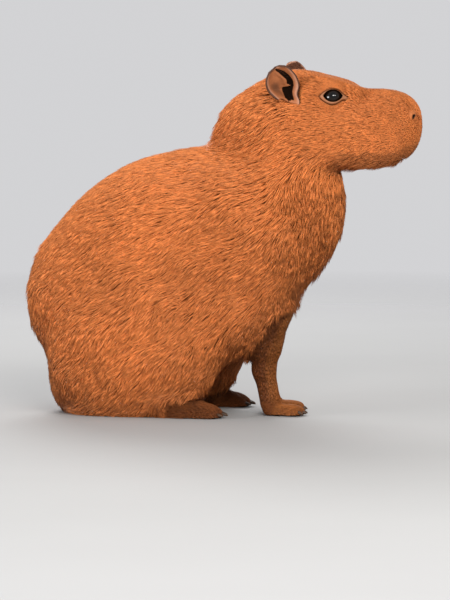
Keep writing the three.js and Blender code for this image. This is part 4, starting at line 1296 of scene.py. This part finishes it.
def make_floor():
    """A pale floor, which fades into the light of the studio farther out."""
    shader = Shader("floor")
    shade = shader.mottled(shader.noise(1.5), (0.345, 0.343, 0.338), (0.36, 0.358, 0.353))
    material = shader.finish(shade, 0.7, 0.3)
    length = shader.node("VectorMath", "Value", {0: shader.place()}, operation="LENGTH")
    clear = shader.node("BsdfTransparent", "BSDF")
    inputs = {"Fac": shader.curve(length, *FLOOR_FADE), 1: shader.surface.outputs["BSDF"], 2: clear}
    fade = shader.node("MixShader", "Shader", inputs)
    shader.link(fade, shader.nodes["Material Output"].inputs["Surface"])
    corners = FLOOR_SIZE * np.array([(-1, -1, 0), (1, -1, 0), (1, 1, 0), (-1, 1, 0)])
    floor = new_mesh("floor", corners, np.array([[0, 1, 2, 3]]), material)


def aimed(name, data, place, target):
    """A new object of the studio, which looks from its place at a target."""
    thing = bpy.data.objects.new(name, data)
    bpy.context.scene.collection.objects.link(thing)
    thing.location = place
    thing.rotation_euler = (Vector(target) - Vector(place)).to_track_quat("-Z", "Y").to_euler()
    return thing


# The camera: the drawing's view, 1.9 mm for each pixel of a frame 450 by 600 pixels.
CAMERA_AZIMUTH = 12
CAMERA_ELEVATION = 3.5
CAMERA_DISTANCE = 8.0
PIXEL = 0.0019
FRAME_HEIGHT = 600
CAMERA_TARGET = (0, 0, 0.214)
SENSOR = 36
FLOOR_FADE = (1.2, 5.0)
FLOOR_SIZE = 20000

# The lights: place, width and height, power and colour.
SKY_COLOUR = (0.9, 0.9, 0.92, 1)
SKY_STRENGTH = 0.72
LIGHT_TARGET = (0, 0, 0.3)
WARM = (1.0, 0.975, 0.94)
LIGHTS = {
    "key": ((1.7, -4.2, 2.4), (2.0, 0.9), 192, WARM),
    "side": ((3.3, -3.2, 2.3), (0.8, 0.8), 55, WARM),
    "fill": ((-3.9, -3.4, 0.6), (2.0, 1.2), 205, (0.96, 0.98, 1.0)),
    "rim": ((-1.2, 3.4, 2.6), (2.6, 1.6), 110, WHITE),
}


def make_camera():
    data = bpy.data.cameras.new("camera")
    data.sensor_width = SENSOR
    data.lens = SENSOR * CAMERA_DISTANCE / (FRAME_HEIGHT * PIXEL)
    a, e = math.radians(CAMERA_AZIMUTH), math.radians(CAMERA_ELEVATION)
    back = Vector((math.sin(a) * math.cos(e), -math.cos(a) * math.cos(e), math.sin(e)))
    place = Vector(CAMERA_TARGET) + back * CAMERA_DISTANCE
    bpy.context.scene.camera = aimed("camera", data, place, CAMERA_TARGET)


def make_studio():
    make_floor()
    make_camera()
    for name, (place, size, power, colour) in LIGHTS.items():
        data = bpy.data.lights.new(name, "AREA")
        data.shape, data.energy, data.color = "RECTANGLE", power, colour
        data.size, data.size_y = size
        aimed(name, data, place, LIGHT_TARGET)
    world = bpy.data.worlds.new("studio")
    world.use_nodes = True
    sky = world.node_tree.nodes["Background"].inputs
    sky["Color"].default_value = SKY_COLOUR
    sky["Strength"].default_value = SKY_STRENGTH
    bpy.context.scene.world = world
    bpy.context.scene.view_settings.view_transform = "Standard"


skin_points, skin_quads = make_skin()
ear_look, eye_look, claw_look = ear_material(), eye_material(), claw_material()
ears = [make_ear(side, sign, ear_look) for side, sign in BOTH]
make_coat(skin_points, skin_quads, ears)
for side, sign in BOTH:
    make_eye(side, sign, eye_look)
    make_claws(f"claws_fore_{side}", FORE_TOES, sign, claw_look)
    make_claws(f"claws_hind_{side}", HIND_TOES, sign, claw_look)
make_studio()
